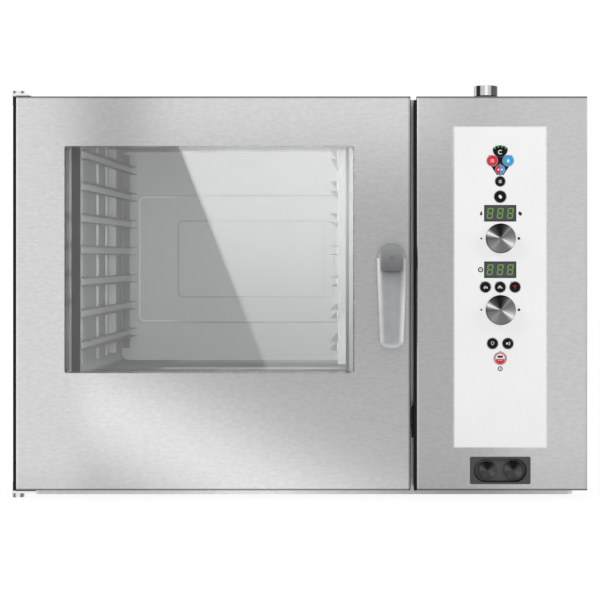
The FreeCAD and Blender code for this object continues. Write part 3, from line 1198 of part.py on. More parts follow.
def usb_cap():
    """Plain push-in cap of the data socket."""
    x, z = cap_x(1), CASE_BOTTOM + SERVICE_Z
    back = FACE_Y + SERVICE_POCKET_DEPTH - CAP_FIT
    disc = soft_front(cyl_y(x, z, CAP_R, back - CAP_HEIGHT, back), 2.0, back - CAP_HEIGHT)
    return [fuse([disc, cyl_y(x, z, CAP_STEM_R, back - 1, back + CAP_STEM)])]


# ---------------------------------------------------------------- vent and rear connections
def vent_pipe():
    """Steam outlet: a pipe through the top cover with its flange."""
    bottom, top = CASE_TOP - VENT_TAIL, CASE_TOP + COLLAR_BAND[1]
    flange = cyl_z(VENT_X, VENT_Y, VENT_FLANGE_R, CASE_TOP, CASE_TOP + 3)
    pipe = fuse([cyl_z(VENT_X, VENT_Y, VENT_R, bottom, top), flange])
    return [pipe.cut(cyl_z(VENT_X, VENT_Y, VENT_R - VENT_WALL, bottom - 1, top + 1))]


def vent_collar():
    """Black clamp collar on the vent pipe, under the outlet tube."""
    low, high = CASE_TOP + COLLAR_BAND[0], CASE_TOP + COLLAR_BAND[1]
    ring = cyl_z(VENT_X, VENT_Y, COLLAR_R, low, high)
    return [ring.cut(cyl_z(VENT_X, VENT_Y, VENT_R, low - 1, high + 1))]


def vent_cap():
    """Polished outlet tube that stands on the collar."""
    low = CASE_TOP + COLLAR_BAND[1]
    high = low + CAP_TUBE_HEIGHT
    tube = cyl_z(VENT_X, VENT_Y, CAP_TUBE_R, low, high)
    upper = [edge for edge in tube.Edges if abs(edge.CenterOfMass.z - high) < 1e-6]
    tube = tube.makeFillet(CAP_TUBE_EDGE_R, upper)
    return [tube.cut(cyl_z(VENT_X, VENT_Y, CAP_TUBE_R - VENT_WALL * 4, low - 1, high + 1))]


def water_valves():
    """Two solenoid inlet valves behind the rear panel, their threaded ports reaching out through it."""
    solids = []
    z = CASE_BOTTOM + VALVE_Z
    for x in VALVE_X:
        inside, outside = CASE_REAR - SHEET, CASE_REAR + VALVE_NECK
        neck = cyl_y(x, z, VALVE_NECK_R, inside - 1, outside + 1)
        port = cyl_y(x, z, VALVE_PORT_R, outside, outside + VALVE_PORT_LENGTH)
        body = cyl_y(x, z, VALVE_BODY_R, inside - VALVE_LENGTH, inside)
        bore = cyl_y(x, z, VALVE_BORE_R, inside - VALVE_BORE_DEPTH, outside + VALVE_PORT_LENGTH + 1)
        solids.append(fuse([neck, port, body]).cut(bore))
        wide, deep, tall = COIL_SIZE
        middle = inside - VALVE_LENGTH / 2
        coil = box(x - wide / 2, x + wide / 2, middle - deep / 2, middle + deep / 2,
                   z, z + VALVE_BODY_R + tall)
        solids.append(coil.cut(cyl_y(x, z, VALVE_BODY_R, inside - VALVE_LENGTH, inside)))
    return solids


def drain_bend(r):
    """The elbow under the cavity: two short arms and the ball that joins them."""
    z = CASE_BOTTOM + DRAIN_Z
    return fuse([cyl_z(DRAIN_X, DRAIN_Y, r, z, z + DRAIN_ELBOW),
                 Part.makeSphere(r, Vector(DRAIN_X, DRAIN_Y, z)),
                 cyl_y(DRAIN_X, z, r, DRAIN_Y, DRAIN_Y + DRAIN_ELBOW)])


def strainer():
    """Perforated disc over the drain in the cavity floor."""
    top = CAVITY_BOTTOM + STRAINER_THICK
    disc = cyl_z(DRAIN_X, DRAIN_Y, DRAIN_TUBE_R + STRAINER_LAP, CAVITY_BOTTOM, top)
    ring = (DRAIN_TUBE_R - DRAIN_WALL) * 0.6
    count, radius = STRAINER_HOLES
    for place in range(count):
        angle = math.radians(place * 360 / count)
        hole_x = DRAIN_X + ring * math.cos(angle)
        hole_y = DRAIN_Y + ring * math.sin(angle)
        disc = disc.cut(cyl_z(hole_x, hole_y, radius, CAVITY_BOTTOM - 1, CAVITY_BOTTOM + 9))
    return disc


def drain_pipe():
    """Drain from the cavity floor: drop tube, elbow, run to the rear with its hose spigot, strainer."""
    z = CASE_BOTTOM + DRAIN_Z
    end = CASE_REAR + FITTING_REACH
    bore = DRAIN_TUBE_R - DRAIN_WALL
    drop = cyl_z(DRAIN_X, DRAIN_Y, DRAIN_TUBE_R, z + DRAIN_ELBOW, CAVITY_BOTTOM)
    drop = drop.cut(cyl_z(DRAIN_X, DRAIN_Y, bore, z, CAVITY_BOTTOM + 9))
    run = fuse([cyl_y(DRAIN_X, z, DRAIN_TUBE_R, DRAIN_Y + DRAIN_ELBOW, end),
                cyl_y(DRAIN_X, z, DRAIN_R, CASE_REAR + DRAIN_NECK, end)])
    run = run.cut(cyl_y(DRAIN_X, z, bore, DRAIN_Y, end + 9))
    return [drop, drain_bend(DRAIN_TUBE_R).cut(drain_bend(bore)), run, strainer()]


def hexagon_y(x, z, r, y0, y1):
    turns = [math.radians(angle) for angle in range(0, 361, 60)]
    corners = [(x + r * math.cos(turn), y0, z + r * math.sin(turn)) for turn in turns]
    return outline_y([line(a, b) for a, b in zip(corners, corners[1:])], y0, y1)


def cable_gland():
    """Supply cable gland: body through the rear panel, lock nut inside, cap nut outside, open bore."""
    z = CASE_BOTTOM + GLAND_Z
    inside, outside = CASE_REAR - SHEET, CASE_REAR
    parts = [cyl_y(GLAND_X, z, GLAND_BODY_R, inside - GLAND_ENDS[0], outside + GLAND_ENDS[1]),
             hexagon_y(GLAND_X, z, GLAND_NUT_R, inside - GLAND_NUTS[0], inside),
             hexagon_y(GLAND_X, z, GLAND_NUT_R, outside, outside + GLAND_NUTS[1]),
             hexagon_y(GLAND_X, z, GLAND_CAP_R, outside + GLAND_CAP[0], outside + GLAND_CAP[1])]
    bore = cyl_y(GLAND_X, z, GLAND_BORE_R, inside - GLAND_ENDS[0] - 9, outside + GLAND_CAP[1] + 9)
    return [fuse(parts).cut(bore)]


def screws():
    """Button-head screws of the rear panel."""
    solids = []
    for x, z in SCREW_PLACES:
        head = cyl_y(x, z, SCREW_R, CASE_REAR, CASE_REAR + SCREW_HEAD)
        head = soft_front(head, SCREW_EDGE_R, CASE_REAR + SCREW_HEAD)
        shank = cyl_y(x, z, SCREW_SHANK_R, CASE_REAR - SHEET, CASE_REAR)
        solids.append(fuse([head, shank]))
    return solids


BUILDERS = {
    "base": base,
    "left_side_panel": left_side_panel,
    "right_side_panel": right_side_panel,
    "rear_panel": rear_panel,
    "top_cover": top_cover,
    "front_frame": front_frame,
    "inner_frame": inner_frame,
    "cavity_liner": cavity_liner,
    "insulation": insulation,
    "left_rack": left_rack,
    "right_rack": right_rack,
    "fan_baffle": fan_baffle,
    "fan_wheel": fan_wheel,
    "heating_element": heating_element,
    "fan_motor": fan_motor,
    "door_gasket": door_gasket,
    "door_skin": door_skin,
    "door_liner": door_liner,
    "window_tunnel": window_tunnel,
    "outer_glass": outer_glass,
    "inner_glass": inner_glass,
    "inner_glass_seal": inner_glass_seal,
    "glass_clips": glass_clips,
    "door_edge_trim": door_edge_trim,
    "hinge_blocks": hinge_blocks,
    "hinge_brackets": hinge_brackets,
    "hinge_pins": hinge_pins,
    "handle": handle,
    "latch": latch,
    "latch_strike": latch_strike,
    "control_front": control_front,
    "panel_edge_seal": panel_edge_seal,
    "membrane": membrane,
    "displays": displays,
    "control_board": control_board,
    "encoders": encoders,
    "knob_upper": lambda: knob(KNOB_Z[0]),
    "knob_lower": lambda: knob(KNOB_Z[1]),
    "service_housing": service_housing,
    "probe_cap": probe_cap,
    "usb_cap": usb_cap,
    "vent_pipe": vent_pipe,
    "vent_collar": vent_collar,
    "vent_cap": vent_cap,
    "water_valves": water_valves,
    "drain_pipe": drain_pipe,
    "cable_gland": cable_gland,
    "screws": screws,
}


def write(name, shapes):
    whole = shapes[0] if len(shapes) == 1 else Part.makeCompound(shapes)
    whole.exportStep("parts/" + name + ".step")


def main():
    os.makedirs("parts", exist_ok=True)
    for name, make in BUILDERS.items():
        write(name, make())
    for name, x, z, r in key_places():
        write(name, fan_key() if name == "key_mode_top" else round_key(x, z, r))


main()
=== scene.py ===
"""Looks of the combi steamer oven: materials, printed symbols, digits, lamps, floor and camera.

Lengths are metres, but Flat and the symbols draw in millimetres. Levels are as a screen shows them, 0 to 255.
"""

from math import atan2, cos, degrees, hypot, pi, radians, sin

import bmesh
import bpy
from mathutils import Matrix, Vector, geometry


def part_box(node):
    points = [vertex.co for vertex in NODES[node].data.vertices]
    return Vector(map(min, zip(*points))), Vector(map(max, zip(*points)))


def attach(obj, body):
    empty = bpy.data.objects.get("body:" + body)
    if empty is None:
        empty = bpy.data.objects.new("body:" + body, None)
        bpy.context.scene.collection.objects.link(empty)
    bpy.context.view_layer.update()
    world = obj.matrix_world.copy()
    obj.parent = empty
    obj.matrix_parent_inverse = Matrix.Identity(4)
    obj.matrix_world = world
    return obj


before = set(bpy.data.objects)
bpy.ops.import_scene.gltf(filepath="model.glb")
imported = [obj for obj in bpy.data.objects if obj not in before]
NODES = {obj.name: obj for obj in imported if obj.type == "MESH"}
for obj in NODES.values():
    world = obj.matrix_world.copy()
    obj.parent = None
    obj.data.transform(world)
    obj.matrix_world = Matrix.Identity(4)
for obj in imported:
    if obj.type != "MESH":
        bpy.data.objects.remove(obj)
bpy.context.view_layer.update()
MM = 0.001
WHITE = (1.0, 1.0, 1.0)
scene = bpy.context.scene


# -------- node helpers
class Nodes:
    """Adds nodes to one emptied tree. A value may be a number, a colour or another node's socket."""

    def __init__(self, tree, output):
        self.tree = tree
        tree.nodes.clear()
        self.out = self.node(output)

    def node(self, kind, **values):
        made = self.tree.nodes.new(kind)
        for key, value in values.items():
            setattr(made, key, value)
        return made

    def link(self, a, b):
        self.tree.links.new(a, b)

    def surface(self, shader):
        self.link(shader, self.out.inputs["Surface"])

    def put(self, socket, value):
        if isinstance(value, bpy.types.NodeSocket):
            self.link(value, socket)
        else:
            socket.default_value = value

    def fill(self, made, **values):
        """Sets a node's inputs by name, with _ for each space."""
        for key, value in values.items():
            self.put(made.inputs[key.replace("_", " ")], value)
        return made

    def math(self, operation, a, b=0.0, clamp=False):
        made = self.node("ShaderNodeMath", operation=operation, use_clamp=clamp)
        self.put(made.inputs[0], a)
        self.put(made.inputs[1], b)
        return made.outputs[0]

    def minus(self, a, b):
        return self.math("SUBTRACT", a, b)

    def times(self, a, b):
        return self.math("MULTIPLY", a, b)

    def total(self, first, *more):
        for value in more:
            first = self.math("ADD", first, value)
        return first

    def glow(self, kind, strength):
        """White light from an Emission or a Background node."""
        made = self.node(kind)
        made.inputs[0].default_value = (1, 1, 1, 1)
        self.put(made.inputs[1], strength)
        return made.outputs[0]

    def either(self, share, first, second):
        """The first shader, or the second where the share is one."""
        made = self.node("ShaderNodeMixShader")
        for socket, value in zip(made.inputs, (share, first, second)):
            self.put(socket, value)
        return made.outputs[0]

    def ray(self, kind):
        return self.node("ShaderNodeLightPath").outputs[kind]

    def seen_rays(self):
        """One for camera, glossy and transmission rays, nought for the rays that light the object."""
        seen = self.math("ADD", self.ray("Is Camera Ray"), self.ray("Is Glossy Ray"), True)
        return self.math("ADD", seen, self.ray("Is Transmission Ray"), True)


class Maker(Nodes):
    """Builds one material round a Principled shader."""

    def __init__(self, name):
        self.material = bpy.data.materials.new(name)
        self.material.use_nodes = True
        super().__init__(self.material.node_tree, "ShaderNodeOutputMaterial")
        self.shader = self.node("ShaderNodeBsdfPrincipled")
        self.surface(self.shader.outputs[0])
        self.place = self.node("ShaderNodeTexCoord").outputs["Object"]

    def set(self, **values):
        self.fill(self.shader, **values)

    def remap(self, value, a, b, c, d, smooth=False):
        """The line, or smooth curve, that runs from c at a to d at b and stays level beyond them."""
        made = self.node("ShaderNodeMapRange", interpolation_type="SMOOTHSTEP" if smooth else "LINEAR")
        return self.fill(made, Value=value, From_Min=a, From_Max=b, To_Min=c, To_Max=d).outputs[0]

    def bell(self, distance, width):
        """A smooth hump: one where the distance is nought, fading over the width."""
        ratio = self.math("DIVIDE", distance, width)
        return self.math("EXPONENT", self.times(self.times(ratio, ratio), -1.0))

    def length(self, u, v):
        return self.math("SQRT", self.total(self.times(u, u), self.times(v, v)))

    def blend(self, share, a, b):
        """The level a, or b where the share is one."""
        return self.total(a, self.times(share, self.minus(b, a)))

    def screen(self, level):
        """Turns a screen level into reflectance."""
        return self.math("POWER", self.math("DIVIDE", level, 255.0), 2.2)

    def noise(self, size, detail=3.0, rough=0.5, stretch=(1, 1, 1)):
        mapping = self.fill(self.node("ShaderNodeMapping"), Vector=self.place, Scale=stretch)
        made = self.fill(self.node("ShaderNodeTexNoise"), Vector=mapping.outputs[0], Scale=size, Detail=detail,
                         Roughness=rough)
        return made.outputs["Fac"]

    def vary(self, noise, low, high):
        """Values from low to high out of a noise, which mostly lies between 0.3 and 0.7."""
        return self.remap(noise, 0.3, 0.7, low, high)

    def split(self, vector):
        made = self.node("ShaderNodeSeparateXYZ")
        self.link(vector, made.inputs[0])
        return made.outputs[0], made.outputs[1], made.outputs[2]

    def axes(self):
        return self.split(self.place)

    def facing(self):
        """The direction that the surface faces, along the same axes."""
        return self.split(self.node("ShaderNodeTexCoord").outputs["Normal"])

    def border(self, u, v, half_u, half_v, corner):
        """Distance from a rounded rectangle's outline, from its middle; negative inside."""
        du = self.minus(self.math("ABSOLUTE", u), half_u - corner)
        dv = self.minus(self.math("ABSOLUTE", v), half_v - corner)
        reach = self.length(self.math("MAXIMUM", du, 0.0), self.math("MAXIMUM", dv, 0.0))
        inside = self.math("MINIMUM", self.math("MAXIMUM", du, dv), 0.0)
        return self.minus(self.total(reach, inside), corner)

    def tint(self, value, colour):
        """A colour times a grey value."""
        grey = self.node("ShaderNodeCombineColor")
        for socket in grey.inputs[:3]:
            self.put(socket, value)
        return self.mix(1.0, grey.outputs[0], (*colour, 1.0), "MULTIPLY")

    def mix(self, factor, a, b, kind="MIX"):
        made = self.node("ShaderNodeMix", data_type="RGBA", blend_type=kind)
        return self.fill(made, Factor=factor, A=a, B=b).outputs["Result"]

    def ramp(self, value, stops):
        made = self.node("ShaderNodeValToRGB")
        self.link(value, made.inputs[0])
        band = made.color_ramp
        band.interpolation = "EASE"
        while len(band.elements) < len(stops):
            band.elements.new(0.5)
        for element, (at, share) in zip(band.elements, stops):
            element.position = at
            element.color = (share, share, share, 1.0)
        return made.outputs["Color"]

    def bump(self, height, strength, distance=0.0003):
        made = self.fill(self.node("ShaderNodeBump"), Strength=strength, Distance=distance, Height=height)
        self.set(Normal=made.outputs[0])


def wear(name, colour, rough, size=60.0, amount=0.06, bumpy=0.1, **more):
    """A moulded or painted finish: slight mottling of colour and gloss over a fine texture."""
    m = Maker(name)
    cloud, fine = m.noise(size * 0.2), m.noise(size * 12)
    m.set(Base_Color=m.tint(m.vary(cloud, 1 - amount, 1 + amount), colour),
          Roughness=m.vary(fine, rough * 0.85, min(1.0, rough * 1.15)), **more)
    m.bump(fine, bumpy)
    return m.material


# for a grain along each axis: how flecks and hair lines are stretched, and the direction across the grain
FLECKS = {"x": (1.0, 2.4, 2.4), "y": (2.4, 1.0, 2.4), "z": (2.4, 2.4, 1.0)}
HAIRS = {"x": (1.0, 90.0, 90.0), "y": (90.0, 1.0, 90.0), "z": (90.0, 90.0, 1.0)}
ACROSS = {"x": (0, 0, 1), "y": (0, 0, 1), "z": (1, 0, 0)}


def steel(name, value, rough, grain="x", shade=None, contrast=0.045, tone=WHITE, anisotropic=0.6, metallic=1.0):
    """Brushed stainless: short soft flecks and hair lines along the grain, and an optional broad painted light and
    shade.
    """
    m = Maker(name)
    fleck = m.noise(80.0, 2.0, 0.5, FLECKS[grain])
    hair = m.noise(12.0, 3.0, 0.6, HAIRS[grain])
    if shade:
        value = m.screen(shade(m))
    for noise, amount in ((fleck, contrast), (hair, contrast * 0.35)):
        value = m.times(value, m.vary(noise, 1 - amount, 1 + amount))
    m.set(Base_Color=m.tint(value, tone), Metallic=metallic, Anisotropic=anisotropic,
          Roughness=m.vary(hair, rough * 0.9, rough * 1.1))
    m.set(Tangent=m.fill(m.node("ShaderNodeCombineXYZ"), **dict(zip("XYZ", ACROSS[grain]))).outputs[0])
    m.bump(hair, 0.1, 0.00005)
    return m.material


def paint(material, *nodes):
    for node in nodes:
        mesh = NODES[node].data
        mesh.materials.clear()
        mesh.materials.append(material)
        for polygon in mesh.polygons:
            polygon.material_index = 0


# -------- places taken from the model's parts
def middle(node):
    low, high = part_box(node)
    return (low + high) / 2


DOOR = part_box("door_skin")
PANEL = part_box("control_front")
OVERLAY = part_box("membrane")
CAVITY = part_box("cavity_liner")
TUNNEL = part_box("window_tunnel")
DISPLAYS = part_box("displays")
DISPLAY_HEIGHT = 0.034
# the overlay's middle line and its front face
CX, OY = (OVERLAY[0].x + OVERLAY[1].x) / 2, OVERLAY[0].y


# -------- steel finishes, with painted light and shade
# Many constants are spans, which remap takes: two places, and the values there as levels or shares of one.
# by the way a face looks: along an axis, and against it
ALONG, AGAINST = (0.5, 0.9, 0.0, 1.0), (-0.9, -0.5, 1.0, 0.0)
# painted shade on the folded top, bottom and right edges and a painted highlight on the left one, by the distance
# from them
FOLD_LEVEL = (0.0015, 0.0055, 0.5, 1.0)
FOLD_LEFT = (0.002, 0.0065, 1.09, 1.0)
FOLD_RIGHT = (0.002, 0.006)
# share of the painted shade at the right fold, on the door and on the panel
DOOR_FOLD, PANEL_FOLD = 0.72, 0.92


def from_edges(m, box):
    """Distances from a sheet's left side, top and foot."""
    x, _, z = m.axes()
    low, high = box
    return m.minus(x, low.x), m.minus(high.z, z), m.minus(z, low.z)


def edges(m, box, value, right):
    """Folded edges: painted shade darkens the top and bottom bends and the right one, and a painted highlight
    lightens the left one.
    """
    side, drop, rise = from_edges(m, box)
    value = m.times(value, m.remap(m.math("MINIMUM", drop, rise), *FOLD_LEVEL, True))
    value = m.times(value, m.remap(side, *FOLD_LEFT, True))
    return m.times(value, m.remap(m.minus(box[1].x - box[0].x, side), *FOLD_RIGHT, right, 1.0, True))


# painted reflection and shade: right and left part, lift by the distance from the top, and where the left part gives
# way to the right one
DOOR_RIGHT, DOOR_LEFT = 168.0, (0.0, 0.07, 203.0, 210.5)
DOOR_LOW = (0.48, 0.62, 0.0, 6.0)
DOOR_FADE = (0.091, 0.183, 0.0, 1.0)
# painted light along the top: reach down from the top, and level
DOOR_CROWN = (0.174, 44.0)
# painted gleam: height at the left side, fall to the right, half width and level
DOOR_PAINTED_GLEAM = (0.252, 0.5, 0.143, 51.0)
# painted shade in the top light: place from the left side, half width and level
DOOR_DIP = (0.197, 0.092, 35.0)


def door_shade(m):
    """A large sheet in painted reflection and shade: light along the hinge side and the top, darker to the right, one
    slanting painted gleam low down.
    """
    side, drop, rise = from_edges(m, DOOR)
    crown = m.bell(drop, DOOR_CROWN[0])
    foot, fall, width, level = DOOR_PAINTED_GLEAM
    slant = m.minus(m.total(rise, m.times(side, fall)), foot)
    right = m.total(DOOR_RIGHT, m.remap(drop, *DOOR_LOW), m.times(crown, DOOR_CROWN[1]),
                    m.times(m.bell(slant, width), level))
    value = m.blend(m.remap(side, *DOOR_FADE, True), m.remap(rise, *DOOR_LEFT, True), right)
    at, width, level = DOOR_DIP
    dip = m.times(m.bell(m.minus(side, at), width), crown)
    return edges(m, DOOR, m.minus(value, m.times(dip, level)), DOOR_FOLD)


# levels and spans of the panel's painted reflection and shade
PANEL_LEFT, PANEL_RIGHT = 170.0, (0.0, 0.12, 188.0, 196.5)
PANEL_FOOT = (0.0, 0.09, -6.0, 0.0)
PANEL_FADE = (0.07, 0.27, 0.0, 1.0)
PANEL_CROWN, PANEL_CROWN_LEVEL = 0.145, (0.0, 0.12, 34.0, 20.0)
# painted highlight round the overlay: its corner's radius, its distance from the edge, half width and level
PANEL_PAINTED_RIM = (0.001, 0.0014, 0.0022, 22.0)


def rectangle(m, box, corner):
    """Distance from the outline of a box's front with rounded corners."""
    x, _, z = m.axes()
    x0, x1, z0, z1 = box
    return m.border(m.minus(x, (x0 + x1) / 2), m.minus(z, (z0 + z1) / 2), (x1 - x0) / 2, (z1 - z0) / 2, corner)


def panel_shade(m):
    """The control panel in painted reflection and shade: darker along its left strip, lighter at its upper left
    corner and to the right, with a painted highlight round the overlay.
    """
    side, drop, rise = from_edges(m, PANEL)
    crown = m.times(m.bell(drop, PANEL_CROWN), m.remap(side, *PANEL_CROWN_LEVEL))
    left = m.total(PANEL_LEFT, crown, m.remap(rise, *PANEL_FOOT))
    low, high = OVERLAY
    corner, at, width, level = PANEL_PAINTED_RIM
    reach = rectangle(m, (low.x, high.x, low.z, high.z), corner)
    value = m.blend(m.remap(side, *PANEL_FADE, True), left, m.remap(rise, *PANEL_RIGHT, True))
    return edges(m, PANEL, m.total(value, m.times(m.bell(m.minus(reach, at), width), level)), PANEL_FOLD)


# painted reflection and shade: place, half width and level of each stretch
BASE_LEVEL, BASE_STRETCHES = 210.0, ((-0.1, 0.16, 38.0), (0.34, 0.16, -42.0))


def base_shade(m):
    """The strip under the case, in painted reflection and shade: one lighter stretch left of the middle and a darker
    one to the right.
    """
    x = m.axes()[0]
    return m.total(BASE_LEVEL, *(m.times(m.bell(m.minus(x, at), width), level)
                                 for at, width, level in BASE_STRETCHES))


# painted light and shade on the walls: level, rise towards both sides, rise to the right, and the fall on faces that
# look to the right
WALL_LEVEL, WALL_SIDES, WALL_RIGHT, WALL_FLANK = 188.0, 40.0, 24.0, (0.5, 0.9, 0.0, -44.0)
# the rear wall's raised panels: left, right, foot and top, and the corner's radius
PRESSED = (CAVITY[0].x + 0.0445, CAVITY[1].x - 0.0735, CAVITY[0].z + 0.0985, CAVITY[1].z - 0.1125)
PRESSED_CORNER = 0.016
INNER = (PRESSED[0] + 0.103, PRESSED[1] - 0.099, PRESSED[2] + 0.065, PRESSED[3] - 0.065)
INNER_CORNER = 0.013
# painted highlight and painted shade lines along them: half width, and level by the share of the way from the middle
# to the right side
LIT_INSET, LIT_WIDTH, LIT_LEVEL = 0.003, 0.0022, (-0.7, -0.5, 40.0, 0.0)
LINE_WIDTH, LINE_LEVEL, INNER_LEVEL = 0.0016, (-0.7, -0.2, 0.0, -50.0), -28.0
# painted reflection on the floor: share of the floor's length from the rear wall, and the share of white there
FLOOR_LENGTH = 0.7
FLOOR_PAINTED_REFLECTION = [(0.0, 0.66), (0.07, 0.63), (0.15, 0.52), (0.26, 0.37), (0.35, 0.46), (0.41, 0.86), (0.46, 0.60),
               (0.54, 0.37), (1.0, 0.32)]
# the floor's plain level under the racks, and the distance from the middle at which it starts
FLOOR_SIDES, FLOOR_MIDDLE = 112.0, (0.19, 0.24, 1.0, 0.0)
# roof, in painted reflection and shade: reach and level of the light seam at the rear, the shade at its left end, and
# where its lighter part starts
SEAM, SEAM_LEVEL, ROOF_LEFT, ROOF_LIT = 0.025, 45.0, (-0.40, -0.33, -42.0, 0.0), (-0.29, -0.22)
# level of that painted lighter part on the roof, and on the surround's underside
ROOF_LEVEL, SURROUND_LEVEL = 26.0, 46.0


def cavity_shade(m):
    """Cavity sheet in painted light and shade: walls lighter towards the sides, a dark floor with one painted gleam,
    a painted light seam under the roof, a painted highlight and shade lines on the pressed edge.
    """
    x, y, _ = m.axes()
    low, high = CAVITY
    centre, half = (low + high) / 2, (high - low) / 2
    aside, _, up = m.facing()
    ahead = m.minus(high.y, y)
    off = m.minus(x, centre.x)
    across = m.math("DIVIDE", off, half.x)
    edge = rectangle(m, PRESSED, PRESSED_CORNER)
    wall = m.total(WALL_LEVEL, m.times(m.times(across, across), WALL_SIDES), m.times(across, WALL_RIGHT),
                   m.remap(aside, *WALL_FLANK),
                   m.times(m.bell(m.total(edge, LIT_INSET), LIT_WIDTH), m.remap(across, *LIT_LEVEL, True)),
                   m.times(m.bell(edge, LINE_WIDTH), m.remap(across, *LINE_LEVEL, True)),
                   m.times(m.bell(rectangle(m, INNER, INNER_CORNER), LINE_WIDTH), INNER_LEVEL))
    floor = m.times(m.ramp(m.math("DIVIDE", ahead, FLOOR_LENGTH), FLOOR_PAINTED_REFLECTION), 255.0)
    floor = m.blend(m.remap(m.math("ABSOLUTE", off), *FLOOR_MIDDLE, True), FLOOR_SIDES, floor)
    roof = m.total(wall, m.times(m.bell(ahead, SEAM), SEAM_LEVEL), m.remap(x, *ROOF_LEFT, True),
                   m.remap(x, *ROOF_LIT, 0.0, ROOF_LEVEL, True))
    return m.blend(m.remap(up, *AGAINST), m.blend(m.remap(up, *ALONG), wall, floor), roof)


# plain level of the surround, and the painted shade's levels in the fold from foot to top
SURROUND, FOLD_LEVELS = 172.0, (2.0, 30.0)
# painted reflection of the rails: their pitch, half height, reach from the window's middle, level, and the side that
# shows them
MIRROR_PITCH, MIRROR_HALF, MIRROR_REACH, MIRROR_LEVEL = 0.059, 0.009, (0.12, 0.14, 1.0, 0.0), 26.0
MIRROR_SIDE = (-0.47, -0.46, 1.0, 0.0)
# painted shade in the fold at the window's right edge: its reach, and how soon its shade starts
FOLD_SHADE, FOLD_START = 0.0048, 0.0004


def tunnel_shade(m):
    """Polished surround in painted reflection and shade: its left side shows the ends of the rack's rails as soft
    dark patches, its underside is lighter to the right, and the fold at its right edge is dark.
    """
    x, _, z = m.axes()
    low, high = TUNNEL
    rise = m.minus(z, middle("window_tunnel").z)
    spot = m.minus(m.math("PINGPONG", rise, MIRROR_PITCH / 2), MIRROR_PITCH / 2)
    near = m.remap(m.math("ABSOLUTE", rise), *MIRROR_REACH, True)
    patch = m.times(m.times(m.bell(spot, MIRROR_HALF), near), m.remap(x, *MIRROR_SIDE))
    _, ahead, up = m.facing()
    under = m.times(m.remap(up, *AGAINST), m.remap(x, *ROOF_LIT, 0.0, SURROUND_LEVEL, True))
    plain = m.total(m.minus(SURROUND, m.times(patch, MIRROR_LEVEL)), under)
    start = high.x - FOLD_SHADE
    fold = m.times(m.remap(x, start, start + FOLD_START, 0.0, 1.0), m.remap(ahead, *AGAINST))
    return m.blend(fold, plain, m.remap(z, low.z, high.z, *FOLD_LEVELS))


# tray levels' pitch, and the uprights' reach below the lowest rail's middle
LEVEL_PITCH, UPRIGHT_OVERHANG = 0.068, 0.040
RAIL_HEIGHT, RAIL_LEVEL = 0.020, 180.0
# half height and depth of the painted shade line along a rail's fold
RAIL_FOLD = (0.003, 100.0)
# depth behind the rails' tips at which the uprights start, and at which painted light falls on the rear one
BEHIND = (0.015, 0.0165, 0.0, 1.0)
REAR_LIT = (0.0375, 0.0395, 150.0, 225.0)
# from the rear wall: the rear upright and the front one
REAR_POST, FRONT_POST = (0.06, 0.08, 1.0, 0.0), (0.5, 0.52, 0.0, 1.0)
# painted light and shade on the uprights: their level by side, and the front one's level on the left and, by the
# height, on the right
POSTS = {1: 214.0, -1: 156.0}
LEFT_FACING, RIGHT_FACING = 150.0, (0.03, 0.13, 140.0, 117.0)


def rack_shade(node, side):
    """Rails of folded strip with painted shade along their folds, before uprights in painted light and shade. Side is
    1 for left, -1 for right.
    """
    low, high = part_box(node)
    tip = high.x if side > 0 else low.x

    def shade(m):
        x, y, z = m.axes()
        depth = m.times(m.minus(tip, x), side)
        height = m.math("PINGPONG", m.minus(z, low.z + UPRIGHT_OVERHANG), LEVEL_PITCH / 2)
        fold = m.bell(m.minus(height, RAIL_HEIGHT / 2), RAIL_FOLD[0])
        rail = m.minus(RAIL_LEVEL, m.times(fold, RAIL_FOLD[1]))
        facing = LEFT_FACING if side > 0 else m.remap(m.minus(z, low.z), *RIGHT_FACING)
        from_rear = m.minus(high.y, y)
        post = m.blend(m.remap(from_rear, *FRONT_POST), POSTS[side], facing)
        post = m.blend(m.remap(from_rear, *REAR_POST), post, m.remap(depth, *REAR_LIT))
        return m.blend(m.remap(depth, *BEHIND, True), rail, post)
    return shade


# painted reflection bands: share of the outlet tube's width and the share of white there
TUBE_PAINTED_BANDS = [(0.0, 0.72), (0.06, 0.9), (0.12, 0.1), (0.22, 0.1), (0.27, 0.78), (0.42, 0.78), (0.46, 1.0),
              (0.53, 1.0), (0.57, 0.76), (0.67, 0.72), (0.73, 0.3), (0.93, 0.34), (1.0, 0.6)]
TUBE_RIM, TUBE_TOP = 200.0, (0.5, 0.8, 0.0, 1.0)


def chrome_shade(m):
    """Polished tube: painted reflection as upright bands of light and dark about its axis."""
    low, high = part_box("vent_cap")
    bands = m.ramp(m.math("DIVIDE", m.minus(m.axes()[0], low.x), high.x - low.x), TUBE_PAINTED_BANDS)
    return m.blend(m.remap(m.facing()[2], *TUBE_TOP), m.times(bands, 255.0), TUBE_RIM)


# plain level of the plates, and the painted shadow's level in the gaps
HINGE_LEVEL, HINGE_GAP_SHADOW = 236.0, 24.0
# plates: thickness, and how far the upper one lies under the top and the lower one over the foot
HINGE_PLATE, HINGE_RISE = 0.005, (0.0055, 0.0085)
# bosses' painted shade: axis from the pins' middle, radius of the dark flank, its half width and level
HINGE_BOSS = (0.002, 0.0075, 0.003, 130.0)
BOSS_START, GAP_START = 0.0005, (0.0001, 0.0004)


